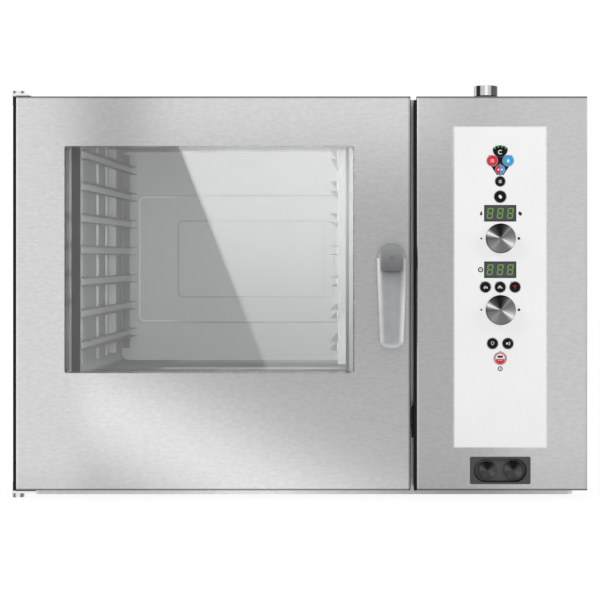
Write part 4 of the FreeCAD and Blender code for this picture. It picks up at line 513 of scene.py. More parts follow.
def hinge_shade(m):
    """Bright plates: painted shade darkens the bosses on both flanks, and painted shadow fills the narrow gaps beside
    the door.
    """
    x, _, z = m.axes()
    low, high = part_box("hinge_brackets")
    at, radius, width, depth = HINGE_BOSS
    flank = m.math("ABSOLUTE", m.minus(x, middle("hinge_pins").x + at))
    dark = m.times(m.bell(m.minus(flank, radius), width), depth)
    upper, lower = high.z - HINGE_RISE[0], low.z + HINGE_RISE[1]
    boss = m.total(m.remap(z, upper - BOSS_START, upper, 0.0, 1.0),
                   m.remap(z, lower, lower + BOSS_START, 1.0, 0.0))
    lower, upper = lower + HINGE_PLATE, upper - HINGE_PLATE
    near, far = GAP_START
    gap = m.times(m.remap(z, lower - far, lower - near, 0.0, 1.0), m.remap(z, upper + near, upper + far, 1.0, 0.0))
    return m.blend(gap, m.minus(HINGE_LEVEL, m.times(boss, dark)), HINGE_GAP_SHADOW)


# -------- materials of the CAD nodes
base_steel = steel("steel_base", 0.5, 0.38, "x", base_shade)
paint(base_steel, "base")
paint(steel("steel_door", 0.6, 0.26, "x", door_shade), "door_skin")
paint(steel("steel_panel", 0.55, 0.26, "x", panel_shade), "control_front")
paint(steel("steel_case", 0.6, 0.3, "y"), "left_side_panel", "right_side_panel", "top_cover")
paint(steel("steel_frame", 0.36, 0.3), "front_frame")
paint(steel("steel_plain", 0.5, 0.38), "rear_panel", "inner_frame", "drain_pipe", "fan_wheel")
paint(steel("steel_cavity", 0.5, 0.6, "x", cavity_shade, contrast=0.02, anisotropic=0.3, metallic=0.0),
      "cavity_liner", "door_liner")
paint(steel("steel_tunnel", 0.36, 0.24, "z", tunnel_shade, contrast=0.03, metallic=0.3), "window_tunnel")
paint(steel("steel_guard", 0.45, 0.36, "z", contrast=0.03, metallic=0.5), "fan_baffle")
paint(steel("steel_bright", 0.75, 0.12, "z", contrast=0.02),
      "vent_pipe", "glass_clips", "screws", "latch", "latch_strike")
paint(steel("steel_hinge", 0.72, 0.2, "z", hinge_shade, contrast=0.04), "hinge_brackets", "hinge_pins")
paint(steel("steel_tube", 0.75, 0.4, "z", chrome_shade, contrast=0.01, metallic=0.5), "vent_cap")
paint(steel("steel_heater", 0.2, 0.45, tone=(1.0, 0.93, 0.86)), "heating_element")
for node, side in (("left_rack", 1), ("right_rack", -1)):
    paint(steel("steel_" + node, 0.5, 0.34, "y", rack_shade(node, side), contrast=0.03, metallic=0.4), node)

paint(wear("rubber_black", (0.008, 0.008, 0.008), 0.7, bumpy=0.15, Specular_IOR_Level=0.15),
      "door_gasket", "door_edge_trim", "panel_edge_seal")
paint(wear("polymer_black", (0.012, 0.012, 0.012), 0.42, Specular_IOR_Level=0.1),
      "hinge_blocks", "vent_collar", "cable_gland")
paint(wear("mineral_wool", (0.62, 0.56, 0.42), 0.95, size=30, amount=0.2, bumpy=0.9), "insulation")
paint(wear("motor_casting", (0.42, 0.43, 0.44), 0.5, Metallic=1.0, bumpy=0.4), "fan_motor")
paint(wear("valve_brass", (0.62, 0.47, 0.22), 0.32, Metallic=1.0), "water_valves")
paint(wear("encoder_metal", (0.6, 0.6, 0.6), 0.35, Metallic=1.0), "encoders")
paint(wear("board_green", (0.02, 0.16, 0.07), 0.4), "control_board")
paint(wear("overlay_white", (0.895, 0.895, 0.893), 0.42, amount=0.012, bumpy=0.04), "membrane")

# painted light on the seal: it lies right of the middle, and its level rises with the height
SEAL_LEVEL, SEAL_PAINTED_LIGHT, SEAL_PAINTED_LIGHT_LEVEL = 75.0, (0.0, 0.01, 0.0, 1.0), (0.33, 0.60, 115.0, 188.0)


def seal_finish():
    """Seal behind the window's edge: black, with pale painted light on its right run that is strongest high up."""
    m = Maker("rubber_pane_seal")
    x, _, z = m.axes()
    level = m.blend(m.remap(x, *SEAL_PAINTED_LIGHT), SEAL_LEVEL, m.remap(z, *SEAL_PAINTED_LIGHT_LEVEL))
    m.set(Base_Color=m.tint(m.screen(level), WHITE), Roughness=0.6, Specular_IOR_Level=0.2)
    return m.material


# rounded pocket round the two caps: width, height, width of the painted shade line at its foot, and depth at which it
# starts
POCKET = (0.108, 0.048, 0.0016, (0.004, 0.006, 0.0, 1.0))
# level of the moulding, of the pocket's floor painted lighter against its shade, and of the painted shade line
HOUSING_LEVEL, POCKET_LEVEL, POCKET_SHADE_LINE = 78.0, 92.0, 34.0
COOL_WHITE = (1.0, 1.0, 1.01)


def housing_finish():
    """Grey moulding; a black line of painted shade follows the foot of its rounded pocket, whose floor is painted
    lighter against its shade.
    """
    m = Maker("service_grey")
    x, y, z = m.axes()
    at = (middle("probe_cap") + middle("usb_cap")) / 2
    width, height, line, depth = POCKET
    edge = m.border(m.minus(x, at.x), m.minus(z, at.z), width / 2, height / 2, height / 2)
    sunk = m.remap(m.minus(y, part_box("service_housing")[0].y), *depth)
    ring = m.times(m.remap(edge, -line - 0.0004, -line, 0.0, 1.0), sunk)
    level = m.blend(ring, m.blend(sunk, HOUSING_LEVEL, POCKET_LEVEL), POCKET_SHADE_LINE)
    grain = m.noise(700.0)
    m.set(Base_Color=m.tint(m.screen(m.times(level, m.vary(grain, 0.97, 1.03))), COOL_WHITE),
          Roughness=m.vary(grain, 0.5, 0.6), Specular_IOR_Level=0.12)
    m.bump(grain, 0.15)
    return m.material


DISPLAY_EDGE = (0.0008, 0.0032, 0.42, 1.0)


def display_finish():
    """Smoked window over the digits, darker round its edge."""
    m = Maker("display_window")
    low, high = DISPLAYS
    x, _, z = m.axes()
    half = (high.z - low.z) / 2
    side = m.math("MINIMUM", m.minus(x, low.x), m.minus(high.x, x))
    rise = m.math("ABSOLUTE", m.minus(z, low.z + half))
    height = m.math("MINIMUM", m.minus(half, rise), m.minus(rise, half - DISPLAY_HEIGHT))
    level = m.remap(m.math("MINIMUM", side, height), *DISPLAY_EDGE, True)
    value = m.times(level, m.vary(m.noise(300.0, 2.0), 0.97, 1.03))
    m.set(Base_Color=m.tint(value, (0.072, 0.078, 0.092)), Roughness=0.25, Specular_IOR_Level=0.1)
    return m.material


# each painted lobe, a highlight where its height is positive and shade where negative: direction in degrees from +X,
# half width in degrees, height in levels
KNOB_PAINTED_LOBES = [(97, 25, -80), (157, 7, 130), (168, 6, 14), (181, 6, -22), (230, 14, 28), (326, 8, 84),
              (337, 9, 62), (352, 9, 30), (10, 9, 12), (50, 6, 36), (135, 4, -14)]
CAP_PAINTED_LOBES = [(88, 28, -56), (160, 16, 24), (330, 18, 28), (240, 12, 10), (20, 14, 12)]
# from the axis: where the painted lobes fade in, and where painted shade darkens the rim
LOBE_HUB, LOBE_RIM = (0.0, 0.008, 0.35, 1.0), (0.0272, 0.0295, 0.0, 22.0)
RINGS_PER_METRE, RING_LEVEL, LEAST_LEVEL = 9000.0, 2.0, 20.0


def turned(node, level, lobes, rough, metallic, specular=0.5):
    """A lathe-turned face with concentric scratches, and painted highlights and shade in wedges about the axis."""
    m = Maker(node + "_turned")
    at = middle(node)
    x, _, z = m.axes()
    du, dv = m.minus(x, at.x), m.minus(z, at.z)
    angle = m.math("ARCTAN2", dv, du)
    away = m.length(du, dv)
    value = 0.0
    for aim, width, height in lobes:
        turn = m.math("COSINE", m.minus(angle, radians(aim)))
        hump = m.math("EXPONENT", m.times(m.minus(turn, 1.0), 1.0 / radians(width) ** 2))
        value = m.total(value, m.times(hump, height))
    value = m.minus(m.times(value, m.remap(away, *LOBE_HUB, True)), m.remap(away, *LOBE_RIM, True))
    rings = m.math("SINE", m.times(away, RINGS_PER_METRE))
    value = m.math("MAXIMUM", m.total(value, level, m.times(rings, RING_LEVEL)), LEAST_LEVEL)
    m.set(Base_Color=m.tint(m.screen(value), COOL_WHITE), Metallic=metallic,
          Roughness=m.vary(m.noise(900.0), rough * 0.9, rough * 1.1), Specular_IOR_Level=specular)
    m.bump(rings, 0.08, 0.00005)
    return m.material


paint(seal_finish(), "inner_glass_seal")
paint(housing_finish(), "service_housing")
paint(display_finish(), "displays")
for node in ("knob_upper", "knob_lower"):
    paint(turned(node, 113.0, KNOB_PAINTED_LOBES, 0.34, 1.0), node)
    # else the knobs throw a halo on the overlay that the photo doesn't have
    NODES[node].visible_diffuse = False
for node in ("probe_cap", "usb_cap"):
    paint(turned(node, 64.0, CAP_PAINTED_LOBES, 0.5, 0.0, 0.08), node)

# lever: hub to lower end, hub to ledge, half width at the hub, taper, rise of the rounded end
HANDLE_SIZE = (0.183, 0.026, 0.0305, 0.0374, 0.009)
# the rest is painted light and shade, by the height below the hub
HEAD_END, HEAD_LEVEL = (0.0252, 0.0262, 1.0, 0.0), (-0.026, 0.026, 145.0, 103.0)
DISH_LEVEL, DISH_PAINTED_SHADE, DISH_FADE = 160.0, 56.0, -80.0
LEFT_RIM, LEFT_CHEEK = (0.02, 0.145, 218.0, 198.0), (-0.03, 0.0, 150.0, 182.0)
RIGHT_RIM, RIGHT_CHEEK = (0.02, 0.10, 176.0, 216.0), 150.0
# by the distance from the lever's edge, from its front and from its lower end
RIM_FADE, RIM_FRONT, TIP_FADE = (0.003, 0.013, 1.0, 0.0), (0.0012, 0.0022, 1.0, 0.0), (0.004, 0.014, 1.0, 0.0)
TIP_LEVEL = 192.0


def handle_finish():
    """Satin cast lever in painted light and shade: light rims that fade into a greyer dish, a darker head, a light
    lower end and a soft painted shadow at the ledge.
    """
    m = Maker("handle_satin")
    x, y, z = m.axes()
    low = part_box("handle")[0]
    drop, ledge, half, lean, arch = HANDLE_SIZE
    below = m.minus(low.z + drop, z)
    away = m.minus(x, middle("latch").x)
    width = m.minus(half, m.times(m.math("MAXIMUM", below, 0.0), lean))
    share = m.math("DIVIDE", away, half)
    tip = m.total(m.minus(drop, below), m.times(m.times(share, share), -arch))
    # painted shadow under the ledge, fading down the dish
    dark = m.math("EXPONENT", m.times(m.math("MAXIMUM", m.minus(below, ledge), 0.0), DISH_FADE))
    head = m.remap(below, *HEAD_END)
    value = m.blend(head, m.minus(DISH_LEVEL, m.times(dark, DISH_PAINTED_SHADE)), m.remap(below, *HEAD_LEVEL))
    cheek_share = m.times(head, m.minus(1.0, m.remap(m.minus(y, low.y), *RIM_FRONT)))
    for reach, rim, cheek in ((m.total(width, away), LEFT_RIM, m.remap(below, *LEFT_CHEEK)),
                              (m.minus(width, away), RIGHT_RIM, RIGHT_CHEEK)):
        edge = m.blend(cheek_share, m.remap(below, *rim), cheek)
        value = m.blend(m.remap(reach, *RIM_FADE, True), value, edge)
    value = m.blend(m.remap(tip, *TIP_FADE, True), value, TIP_LEVEL)
    cloud = m.noise(60.0)
    value = m.screen(m.times(value, m.vary(cloud, 0.98, 1.02)))
    m.set(Base_Color=m.tint(value, (0.985, 1.0, 1.02)), Roughness=m.vary(cloud, 0.3, 0.36), Specular_IOR_Level=0.3)
    return m.material


PANE_TINT = (0.97, 0.98, 0.98)


def glass(name):
    """Clear pane; light rays to the lamps pass it straight, so the cavity behind is lit."""
    m = Maker(name)
    m.set(Base_Color=(*PANE_TINT, 1.0), Transmission_Weight=1.0, IOR=1.46, Roughness=m.vary(m.noise(6.0), 0.0, 0.012))
    clear = m.node("ShaderNodeBsdfTransparent")
    clear.inputs[0].default_value = (*(0.95 * share for share in PANE_TINT), 1.0)
    m.surface(m.either(m.ray("Is Shadow Ray"), m.shader.outputs[0], clear.outputs[0]))
    return m.material


paint(handle_finish(), "handle")
paint(glass("pane_outer"), "outer_glass")
paint(glass("pane_inner"), "inner_glass")

# -------- keys and inks
RED, BLUE = (0.70, 0.028, 0.06), (0.045, 0.36, 0.72)
COLOUR_SPLIT = 0.0002
paint(wear("key_black", (0.009, 0.009, 0.0095), 0.3, amount=0.03, bumpy=0.02, Specular_IOR_Level=0.06),
      "key_mode_top", "key_humidity", "key_fan_speed", "key_timer", "key_phase", "key_core_probe", "key_light",
      "key_cool_down")
paint(wear("key_red", RED, 0.34, amount=0.03, bumpy=0.02, Specular_IOR_Level=0.1), "key_convection")
paint(wear("key_blue", BLUE, 0.34, amount=0.03, bumpy=0.02, Specular_IOR_Level=0.1), "key_steam")
paint(wear("key_white", (0.80, 0.80, 0.80), 0.34, amount=0.02, bumpy=0.02), "key_start_stop")


def two_tone():
    """Red left of the key's middle and blue right of it."""
    m = Maker("key_two_tone")
    at = middle("key_combination").x
    side = m.remap(m.axes()[0], at - COLOUR_SPLIT, at + COLOUR_SPLIT, 0.0, 1.0)
    m.set(Base_Color=m.mix(side, (*RED, 1), (*BLUE, 1)), Specular_IOR_Level=0.1,
          Roughness=m.vary(m.noise(700.0, 4.0), 0.3, 0.38))
    return m.material


paint(two_tone(), "key_combination")
ink = {
    "white": wear("ink_white", (0.82, 0.82, 0.82), 0.4, bumpy=0.02),
    "grey": wear("ink_grey", (0.04, 0.04, 0.042), 0.45, bumpy=0.02, Specular_IOR_Level=0.1),
    "black": wear("ink_black", (0.008, 0.008, 0.008), 0.4, bumpy=0.02, Specular_IOR_Level=0.06),
    "red": wear("ink_red", RED, 0.4, bumpy=0.02, Specular_IOR_Level=0.1),
    "lamp": wear("lamp_green", (0.03, 0.42, 0.10), 0.3, bumpy=0.02, Emission_Color=(0.03, 0.5, 0.12, 1),
                 Emission_Strength=0.15),
    "digit": wear("digit_green", (0.115, 0.24, 0.03), 0.35, bumpy=0.02, Emission_Color=(0.2, 0.42, 0.03, 1),
                  Emission_Strength=0.17),
    "rim": wear("rim_grey", (0.3, 0.3, 0.3), 0.4, bumpy=0.02),
}


# -------- pieces
def add_object(name, mesh, material):
    mesh.materials.append(material)
    made = bpy.data.objects.new(name, mesh)
    scene.collection.objects.link(made)
    return made


def closed_mesh(name, bm):
    """A mesh with its faces outwards; the bmesh is freed."""
    bmesh.ops.recalc_face_normals(bm, faces=bm.faces)
    mesh = bpy.data.meshes.new(name)
    bm.to_mesh(mesh)
    bm.free()
    return mesh


def encloses(loop, at):
    """Whether a convex loop has the point on the same side of all its edges."""
    turns = [(Vector(b) - Vector(a)).cross(at - Vector(a)) for a, b in zip(loop, loop[1:] + loop[:1])]
    return min(turns) > -1e-6 or max(turns) < 1e-6


def key_outline(node, gap):
    """A key's outline from the front, grown by a gap, in millimetres about the overlay's middle line."""
    seen = {(round((v.co.x - CX) / MM, 2), round(v.co.z / MM, 2)) for v in NODES[node].data.vertices}
    spots = [Vector(spot) for spot in sorted(seen)]
    hull = [spots[k] for k in geometry.convex_hull_2d(spots)]
    centre = sum(hull, Vector((0, 0))) / len(hull)
    return [tuple(spot + (spot - centre).normalized() * gap) for spot in hull]


class Flat:
    """Thin raised shapes on an upright face at depth y, drawn in millimetres about a point (x, z)."""

    def __init__(self, centre, y, thick=0.15):
        self.x, self.z, self.y, self.thick = centre[0], centre[1], y, thick * MM
        self.bm = bmesh.new()

    def point(self, u, v, front):
        return self.bm.verts.new((self.x + u * MM, self.y - (self.thick if front else 0.0), self.z + v * MM))

    def poly(self, points):
        front = [self.point(u, v, True) for u, v in points]
        back = [self.point(u, v, False) for u, v in points]
        self.bm.faces.new(front)
        self.bm.faces.new(back[::-1])
        for i in range(len(points)):
            j = (i + 1) % len(points)
            self.bm.faces.new((front[i], back[i], back[j], front[j]))

    def disc(self, u, v, r, count=28):
        turn = 2 * pi / count
        self.poly([(u + r * cos(k * turn), v + r * sin(k * turn)) for k in range(count)])

    def sector(self, u, v, r0, r1, a0, a1, count=24):
        """Part of a ring between two radii and two angles in degrees, as one small plate for each step."""
        turns = [radians(a0 + (a1 - a0) * k / count) for k in range(count + 1)]
        for a, b in zip(turns, turns[1:]):
            self.poly([(u + r * cos(turn), v + r * sin(turn))
                       for r, turn in ((r0, a), (r1, a), (r1, b), (r0, b))])

    def ring(self, u, v, r, width, count=32):
        self.sector(u, v, r - width / 2, r + width / 2, 0, 360, count)

    def stroke(self, points, width):
        for (a, b), (c, d) in zip(points, points[1:]):
            length = hypot(c - a, d - b)
            nu, nv = -(d - b) / length * width / 2, (c - a) / length * width / 2
            self.poly([(a + nu, b + nv), (c + nu, d + nv), (c - nu, d - nv), (a - nu, b - nv)])

    def plate(self, outline, holes):
        """A convex plate, its outline given clockwise, less the convex holes, which may cross its edge."""
        points, edges = [], []
        for loop in [outline] + holes:
            first = len(points)
            points += [Vector(point) for point in loop]
            edges += [(first + k, first + (k + 1) % len(loop)) for k in range(len(loop))]
        spots, _, faces = geometry.delaunay_2d_cdt(points, edges, [], 0, 1e-5)[:3]
        kept = []
        for face in faces:
            at = sum((spots[k] for k in face), Vector((0, 0))) / 3
            if encloses(outline, at) and not any(encloses(hole, at) for hole in holes):
                kept.append(face)
        used = sorted({k for face in kept for k in face})
        front = {k: self.point(spots[k].x, spots[k].y, True) for k in used}
        back = {k: self.point(spots[k].x, spots[k].y, False) for k in used}
        sides = {}
        for face in kept:
            self.bm.faces.new([front[k] for k in face])
            self.bm.faces.new([back[k] for k in reversed(face)])
            for a, b in zip(face, face[1:] + face[:1]):
                sides.setdefault(frozenset((a, b)), []).append((a, b))
        for ways in sides.values():
            if len(ways) == 1:
                a, b = ways[0]
                self.bm.faces.new((front[b], front[a], back[a], back[b]))

    def done(self, name, colour, body, slot):
        bmesh.ops.remove_doubles(self.bm, verts=self.bm.verts, dist=1e-7)
        piece = add_object(name, closed_mesh(name, self.bm), ink[colour])
        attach(piece, body)


def key_flat(node, thick=0.15):
    """A drawing on a key's face, about its middle."""
    at = middle(node)
    return Flat((at.x, at.z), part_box(node)[0].y, thick)


# -------- symbols on the keys
def drop_symbol(f):
    """A drop: an arc of 250 degrees round its belly, and a point."""
    turns = [radians(-215 + k * 250 / 18) for k in range(19)]
    f.poly([(2.64 * cos(a), -0.88 + 2.64 * sin(a)) for a in turns] + [(0.0, 4.62)])


def steps_symbol(f):
    f.stroke([(-4.2, -2.6), (-0.9, 3.2), (0.9, 0.9)], 2.0)
    f.stroke([(-0.6, -2.2), (1.6, 0.9), (4.2, -2.8)], 1.7)


def leaf_symbol(f, u=0.0, v=0.0, s=1.0):
    """A rounded fan blade: an egg shape leaning to the left."""
    points = []
    for k in range(24):
        a = radians(k * 15)
        along, across = 4.2 * cos(a), (3.0 + 0.7 * cos(a)) * sin(a)
        points.append((u + s * (along * 0.55 - across * 0.83), v - s * (along * 0.83 + across * 0.55)))
    f.poly(points)


def turn_symbol(f):
    f.stroke([(-3.8, -1.6), (-0.4, 2.2), (2.6, -1.0)], 1.5)
    f.poly([(0.6, -2.8), (4.4, -3.0), (4.4, 1.0)])
    f.stroke([(-3.0, -3.6), (0.0, -0.8)], 1.3)


def steam_symbol(f):
    f.stroke([(-3.0, -2.6), (3.0, -2.6)], 1.1)
    for u in (-2.2, 0.0, 2.2):
        f.stroke([(u, -1.4), (u - 0.5, 0.2), (u + 0.5, 1.6), (u, 3.0)], 1.0)


def bulb_symbol(f):
    f.ring(0, 1.0, 2.9, 0.9)
    f.stroke([(-1.2, -2.4), (1.2, -2.4)], 0.8)
    f.stroke([(-0.9, -3.8), (0.9, -3.8)], 0.8)


def door_symbol(f):
    f.sector(-1.6, 0, 0, 2.2, 0, 360, 16)
    for r in (3.6, 5.0):
        f.sector(-0.6, 0, r - 0.4, r + 0.4, -50, 50, 10)


def wave_symbol(f):
    for u in (-2.6, 0.0, 2.6):
        f.stroke([(u - 0.8, -3.4), (u + 0.6, -1.2), (u - 0.6, 1.0), (u + 0.8, 3.4)], 0.9)


def arc_symbol(f):
    f.sector(0, -1.8, 2.9, 4.6, 42, 318, 18)


def dots_symbol(f):
    for way in (-1, 1):
        f.sector(way * 3.6, 0.3, 0.0, 1.8, 0, 360, 12)


def probe_symbol(f):
    f.stroke([(-3.6, 2.4), (3.6, 2.4)], 1.2)
    f.stroke([(0, 1.2), (0, -4.2)], 1.3)


SYMBOLS = {"key_mode_top": arc_symbol, "key_convection": wave_symbol, "key_steam": drop_symbol,
           "key_humidity": steam_symbol, "key_fan_speed": leaf_symbol, "key_timer": turn_symbol,
           "key_phase": steps_symbol, "key_light": bulb_symbol, "key_cool_down": door_symbol,
           "key_combination": dots_symbol, "key_core_probe": probe_symbol}
for node, draw in SYMBOLS.items():
    flat = key_flat(node)
    draw(flat)
    flat.done(node + "_symbol", "red" if draw is probe_symbol else "white", node, "overlay_white")


def start_symbols(node="key_start_stop"):
    """A red ring and bowl, a dark bar and three white marks."""
    low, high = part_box(node)
    radius = (high.x - low.x) / 2 / MM
    red = key_flat(node)
    red.ring(0, 0, radius - 1.4, 1.9)
    red.sector(0, -0.9, 0.0, radius - 3.2, 182, 358, 18)
    red.done(node + "_red", "red", node, "key_red")
    bar = key_flat(node)
    bar.poly([(-5.4, 1.4), (5.4, 1.4), (5.4, 5.8), (-5.4, 5.8)])
    bar.done(node + "_bar", "grey", node, "cap_black")
    marks = key_flat(node, 0.3)
    for u in (-3.4, 0.0, 3.4):
        marks.stroke([(u, -2.4), (u, -5.0)], 1.1)
    marks.done(node + "_marks", "white", node, "overlay_white")


# -------- print and lamps on the overlay
# each display's middle height, upper one first, in millimetres
ROWS = [(DISPLAYS[1].z - DISPLAY_HEIGHT / 2) / MM, (DISPLAYS[0].z + DISPLAY_HEIGHT / 2) / MM]
MODE_KEYS = ("key_convection", "key_steam", "key_combination")
# gap between a mode key and the printed field, in millimetres
KEY_GAP = 0.5


def indicator_lamps():
    """Green lamps: four on the upper mode key, and one beside each of eight keys."""
    top = middle("key_mode_top").z / MM
    for u, v in ((-10.9, 6.4), (-3.9, 9.0), (3.9, 9.0), (10.9, 6.4)):
        single = Flat((CX, 0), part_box("key_mode_top")[0].y, 0.3)
        single.disc(u, top + v, 1.7, 14)
        single.done("lamp_mode_%d" % (u + 20), "lamp", "key_mode_top", "board_green")
    flat = Flat((CX, 0), OY, 0.4)
    for node, u, v in (("key_convection", -5.9, 10.7), ("key_steam", 7.1, 9.9), ("key_combination", 0.0, 11.4),
                       ("key_humidity", 0.0, 11.6), ("key_timer", -7.6, 9.6), ("key_phase", -7.6, 9.6),
                       ("key_core_probe", -7.6, 9.6), ("key_start_stop", 0.0, 13.6)):
        at = middle(node)
        flat.disc((at.x - CX) / MM + u, at.z / MM + v, 1.5, 14)
    flat.done("overlay_lamps", "lamp", "case", "board_green")


def overlay_marks():
    """Printed marks beside the knobs and displays, and the mark under the start key."""
    dark = Flat((CX, 0), OY, 0.12)
    upper, lower = ROWS
    for node in ("knob_upper", "knob_lower"):
        z = middle(node).z / MM
        dark.disc(-38.6, z, 2.0, 16)
        dark.disc(38.2, z, 2.9, 18)
    dark.poly([(u, upper + v) for u, v in ((-41.2, -4.0), (-36.6, -4.0), (-37.0, 1.6), (-38.2, 4.6), (-41.0, 1.0))])
    leaf_symbol(dark, 40.6, upper - 0.4, 1.1)
    dark.ring(-40.0, lower, 4.3, 2.3)
    dark.disc(-40.0, lower, 1.2, 12)
    dark.done("overlay_marks", "grey", "case", "cap_black")
    rings = Flat((CX, 0), OY, 0.12)
    z = middle("key_start_stop").z / MM - 21.0
    rings.ring(0, z, 4.1, 1.9)
    rings.stroke([(0, z - 1.8), (0, z + 1.8)], 1.4)
    rings.done("overlay_rings", "grey", "case", "cap_black")


def mode_field():
    """Black printed field behind the four mode keys."""
    field = Flat((CX, 0), OY, 0.1)
    z, foot = middle("key_convection").z / MM, middle("key_combination").z / MM - 10.6
    outline = [(-9.0, z + 12.0), (9.0, z + 12.0), (20.0, z - 9.0), (7.0, foot), (-7.0, foot), (-20.0, z - 9.0)]
    field.plate(outline, [key_outline(node, KEY_GAP) for node in MODE_KEYS + ("key_mode_top",)])
    field.done("overlay_mode_field", "black", "case", "cap_black")


def key_rims():
    """Thin grey rings printed round the round keys."""
    for node in MODE_KEYS + ("key_humidity", "key_fan_speed", "key_timer", "key_phase", "key_core_probe",
                             "key_light", "key_cool_down", "key_start_stop"):
        low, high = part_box(node)
        at, radius = (low + high) / 2, (high.x - low.x) / 2 / MM
        rim = Flat((at.x, at.z), OY, 0.2)
        rim.ring(0, 0, radius + 1.1, 0.9, 40)
        rim.done("overlay_rim_" + node, "rim", "case", "service_grey")


start_symbols()
indicator_lamps()
overlay_marks()
mode_field()
key_rims()

# -------- plinth
# the plinth's wall stands this far inside the base pan, at its sides and at the rear
PLINTH_SIDE, PLINTH_REAR, PLINTH_CORNER = 0.0195, 0.0285, 0.016
# the strips lie a hair inside the wall's faces: radii, heights, and degrees of arc
STRIP_RADII, STRIP_HEIGHTS, STRIP_ARC, STRIP_STEPS = (0.014, 0.01595), (0.0019, 0.0179), 42, 12


def plinth_corner(name, x, y, facing):
    """A curved strip that closes the slot in one round corner of the plinth's wall; facing is in degrees."""
    bm = bmesh.new()
    (inner, outer), (foot, top) = STRIP_RADII, STRIP_HEIGHTS
    rings = []
    for k in range(STRIP_STEPS + 1):
        turn = radians(facing + STRIP_ARC * (k / STRIP_STEPS - 0.5))
        rings.append([bm.verts.new((x + r * cos(turn), y + r * sin(turn), z))
                      for r, z in ((inner, foot), (outer, foot), (outer, top), (inner, top))])
    for a, b in zip(rings, rings[1:]):
        for k in range(4):
            bm.faces.new((a[k], a[(k + 1) % 4], b[(k + 1) % 4], b[k]))
    bm.faces.new(rings[0][::-1])
    bm.faces.new(rings[-1])
    piece = add_object(name, closed_mesh(name, bm), base_steel)
    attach(piece, "case")


low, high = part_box("base")
for side, x, way in (("left", low.x + PLINTH_SIDE + PLINTH_CORNER, -1),
                     ("right", high.x - PLINTH_SIDE - PLINTH_CORNER, 1)):
    for end, y, turn in (("front", low.y + PLINTH_CORNER, -1), ("rear", high.y - PLINTH_REAR - PLINTH_CORNER, 1)):
        plinth_corner("plinth_corner_%s_%s" % (end, side), x, y, degrees(atan2(turn, way)))

# -------- digits
# in millimetres: width, height, thickness of a bar, lean, distance between digits, gap between bars
DIGIT_SIZE, DIGIT_LEAN, DIGIT_PITCH, DIGIT_GAP = (12.4, 22.2, 2.5), 0.12, 20.6, 0.35


def digit(flat, u, v):
    """Seven slanted bars with pointed ends, in the figure 8."""
    w, h, t = DIGIT_SIZE

    def bar(points):
        flat.poly([(u + a + DIGIT_LEAN * b, v + b) for a, b in points])

    def across(z):
        half = w / 2 - t * 0.62
        tip = half - t / 2
        bar([(-half, z), (-tip, z + t / 2), (tip, z + t / 2), (half, z), (tip, z - t / 2), (-tip, z - t / 2)])

    def along(x, a, b):
        left, right, foot, top = x - t / 2, x + t / 2, a + t / 2, b - t / 2
        bar([(x, a), (right, foot), (right, top), (x, b), (left, top), (left, foot)])

    for z in (-h / 2 + t / 2, 0.0, h / 2 - t / 2):
        across(z)
    far = h / 2 - DIGIT_GAP - t * 0.1
    for x in (-(w - t) / 2, (w - t) / 2):
        along(x, DIGIT_GAP, far)
        along(x, -far, -DIGIT_GAP)


digits = Flat((CX, 0), DISPLAYS[0].y, 0.15)
for row in ROWS:
    for u in (-DIGIT_PITCH, 0.0, DIGIT_PITCH):
        digit(digits, u, row)
digits.done("display_digits", "digit", "case", "display_window")


# -------- stage: floor, lamps, world, camera
def stage_plane(name, corners, material):
    mesh = bpy.data.meshes.new(name)
    mesh.from_pydata(corners, [], [list(range(len(corners)))])
    plane = add_object(name, mesh, material)
    return plane


# the floor is white to the eye, and the rest of it is lit, so it keeps the object's shadow
FLOOR_GLOW, FLOOR_WHITE = 1.03, 0.91


def floor_material():
    m = Maker("floor_pale")
    m.set(Base_Color=(0.86, 0.86, 0.86, 1), Roughness=0.9, Specular_IOR_Level=0.0)
    m.surface(m.either(m.times(m.seen_rays(), FLOOR_WHITE), m.shader.outputs[0],
                       m.glow("ShaderNodeEmission", FLOOR_GLOW)))
    return m.material


stage_plane("floor", [(-9, -9, 0), (9, -9, 0), (9, 9, 0), (-9, 9, 0)], floor_material())

# what lights the object, and what the eye, metal and glass see
WORLD_LIGHT, WORLD_SEEN = 0.88, 1.0
world = bpy.data.worlds.new("studio")
scene.world = world
world.use_nodes = True
sky = Nodes(world.node_tree, "ShaderNodeOutputWorld")
sky.surface(sky.either(sky.seen_rays(), sky.glow("ShaderNodeBackground", WORLD_LIGHT),
                       sky.glow("ShaderNodeBackground", WORLD_SEEN)))


def lamp(name, place, target, width, height, watts):
    light = bpy.data.lights.new(name, "AREA")
    light.shape = "RECTANGLE"
    light.size, light.size_y = width, height
    light.energy = watts
    holder = bpy.data.objects.new(name, light)
    holder.location = place
    holder.rotation_euler = (Vector(target) - Vector(place)).to_track_quat("-Z", "Y").to_euler()
    scene.collection.objects.link(holder)
    return holder


OBJECT_MIDDLE = (0, 0, 0.4)
lamp("key_lamp", (-2.6, -3.2, 3.2), OBJECT_MIDDLE, 1.8, 1.8, 26)
lamp("fill_lamp", (3.0, -2.6, 1.8), OBJECT_MIDDLE, 1.8, 1.8, 14)
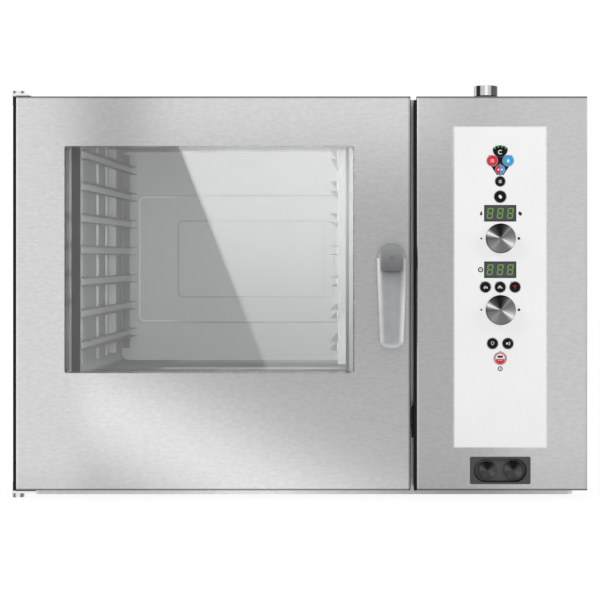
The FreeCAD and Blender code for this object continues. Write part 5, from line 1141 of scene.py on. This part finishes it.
# stands for the oven's own lamps, at the cavity's mouth
at = middle("cavity_liner")
inside = lamp("cavity_lamp", (at.x, CAVITY[0].y + 0.02, at.z), (at.x, CAVITY[1].y, at.z), 0.66, 0.5, 2.56)
inside.visible_camera = inside.visible_transmission = inside.visible_glossy = False

# card: place, foot, top, right side, left side at the foot and at the top, and its strength by the height
CARD_Y, CARD_FOOT, CARD_TOP, CARD_RIGHT, CARD_LEFT = -4.0, -0.1, 1.6, 3.0, (-0.321, -0.989)
CARD_STRENGTH = (-0.05, 1.02, 0.93, 3.1)


def window_card():
    """A bright see-through card beyond the camera, with a slanted left side, that only the panes reflect."""
    m = Maker("card_bright")
    # light that the cavity has scattered finds the card dark, so the card doesn't light the cavity
    straight = m.math("LESS_THAN", m.ray("Diffuse Depth"), 0.5)
    strength = m.times(m.remap(m.axes()[2], *CARD_STRENGTH, True), straight)
    both = m.node("ShaderNodeAddShader")
    m.link(m.node("ShaderNodeBsdfTransparent").outputs[0], both.inputs[0])
    m.link(m.glow("ShaderNodeEmission", strength), both.inputs[1])
    m.surface(both.outputs[0])
    corners = ((CARD_LEFT[0], CARD_FOOT), (CARD_RIGHT, CARD_FOOT), (CARD_RIGHT, CARD_TOP), (CARD_LEFT[1], CARD_TOP))
    card = stage_plane("window_card", [(x, CARD_Y, z) for x, z in corners], m.material)
    card.visible_camera = card.visible_diffuse = card.visible_shadow = False
    panes = bpy.data.collections.new("window_panes")
    for node in ("outer_glass", "inner_glass"):
        panes.objects.link(NODES[node])
    card.light_linking.receiver_collection = panes


window_card()

# camera: aside, height, distance from the door's face; its lens and shift match the photo's framing
CAMERA_X, CAMERA_Z, CAMERA_DISTANCE = 0.181, 0.494, 3.1
camera_data = bpy.data.cameras.new("camera")
camera_data.sensor_width, camera_data.lens = 36.0, 90.93
camera_data.shift_x, camera_data.shift_y = -0.15, -0.07
camera_data.clip_end = 60
camera = bpy.data.objects.new("camera", camera_data)
camera.location = (CAMERA_X, DOOR[0].y - CAMERA_DISTANCE, CAMERA_Z)
camera.rotation_euler = (radians(90), 0, 0)
scene.collection.objects.link(camera)
scene.camera = camera
scene.view_settings.view_transform = "Standard"
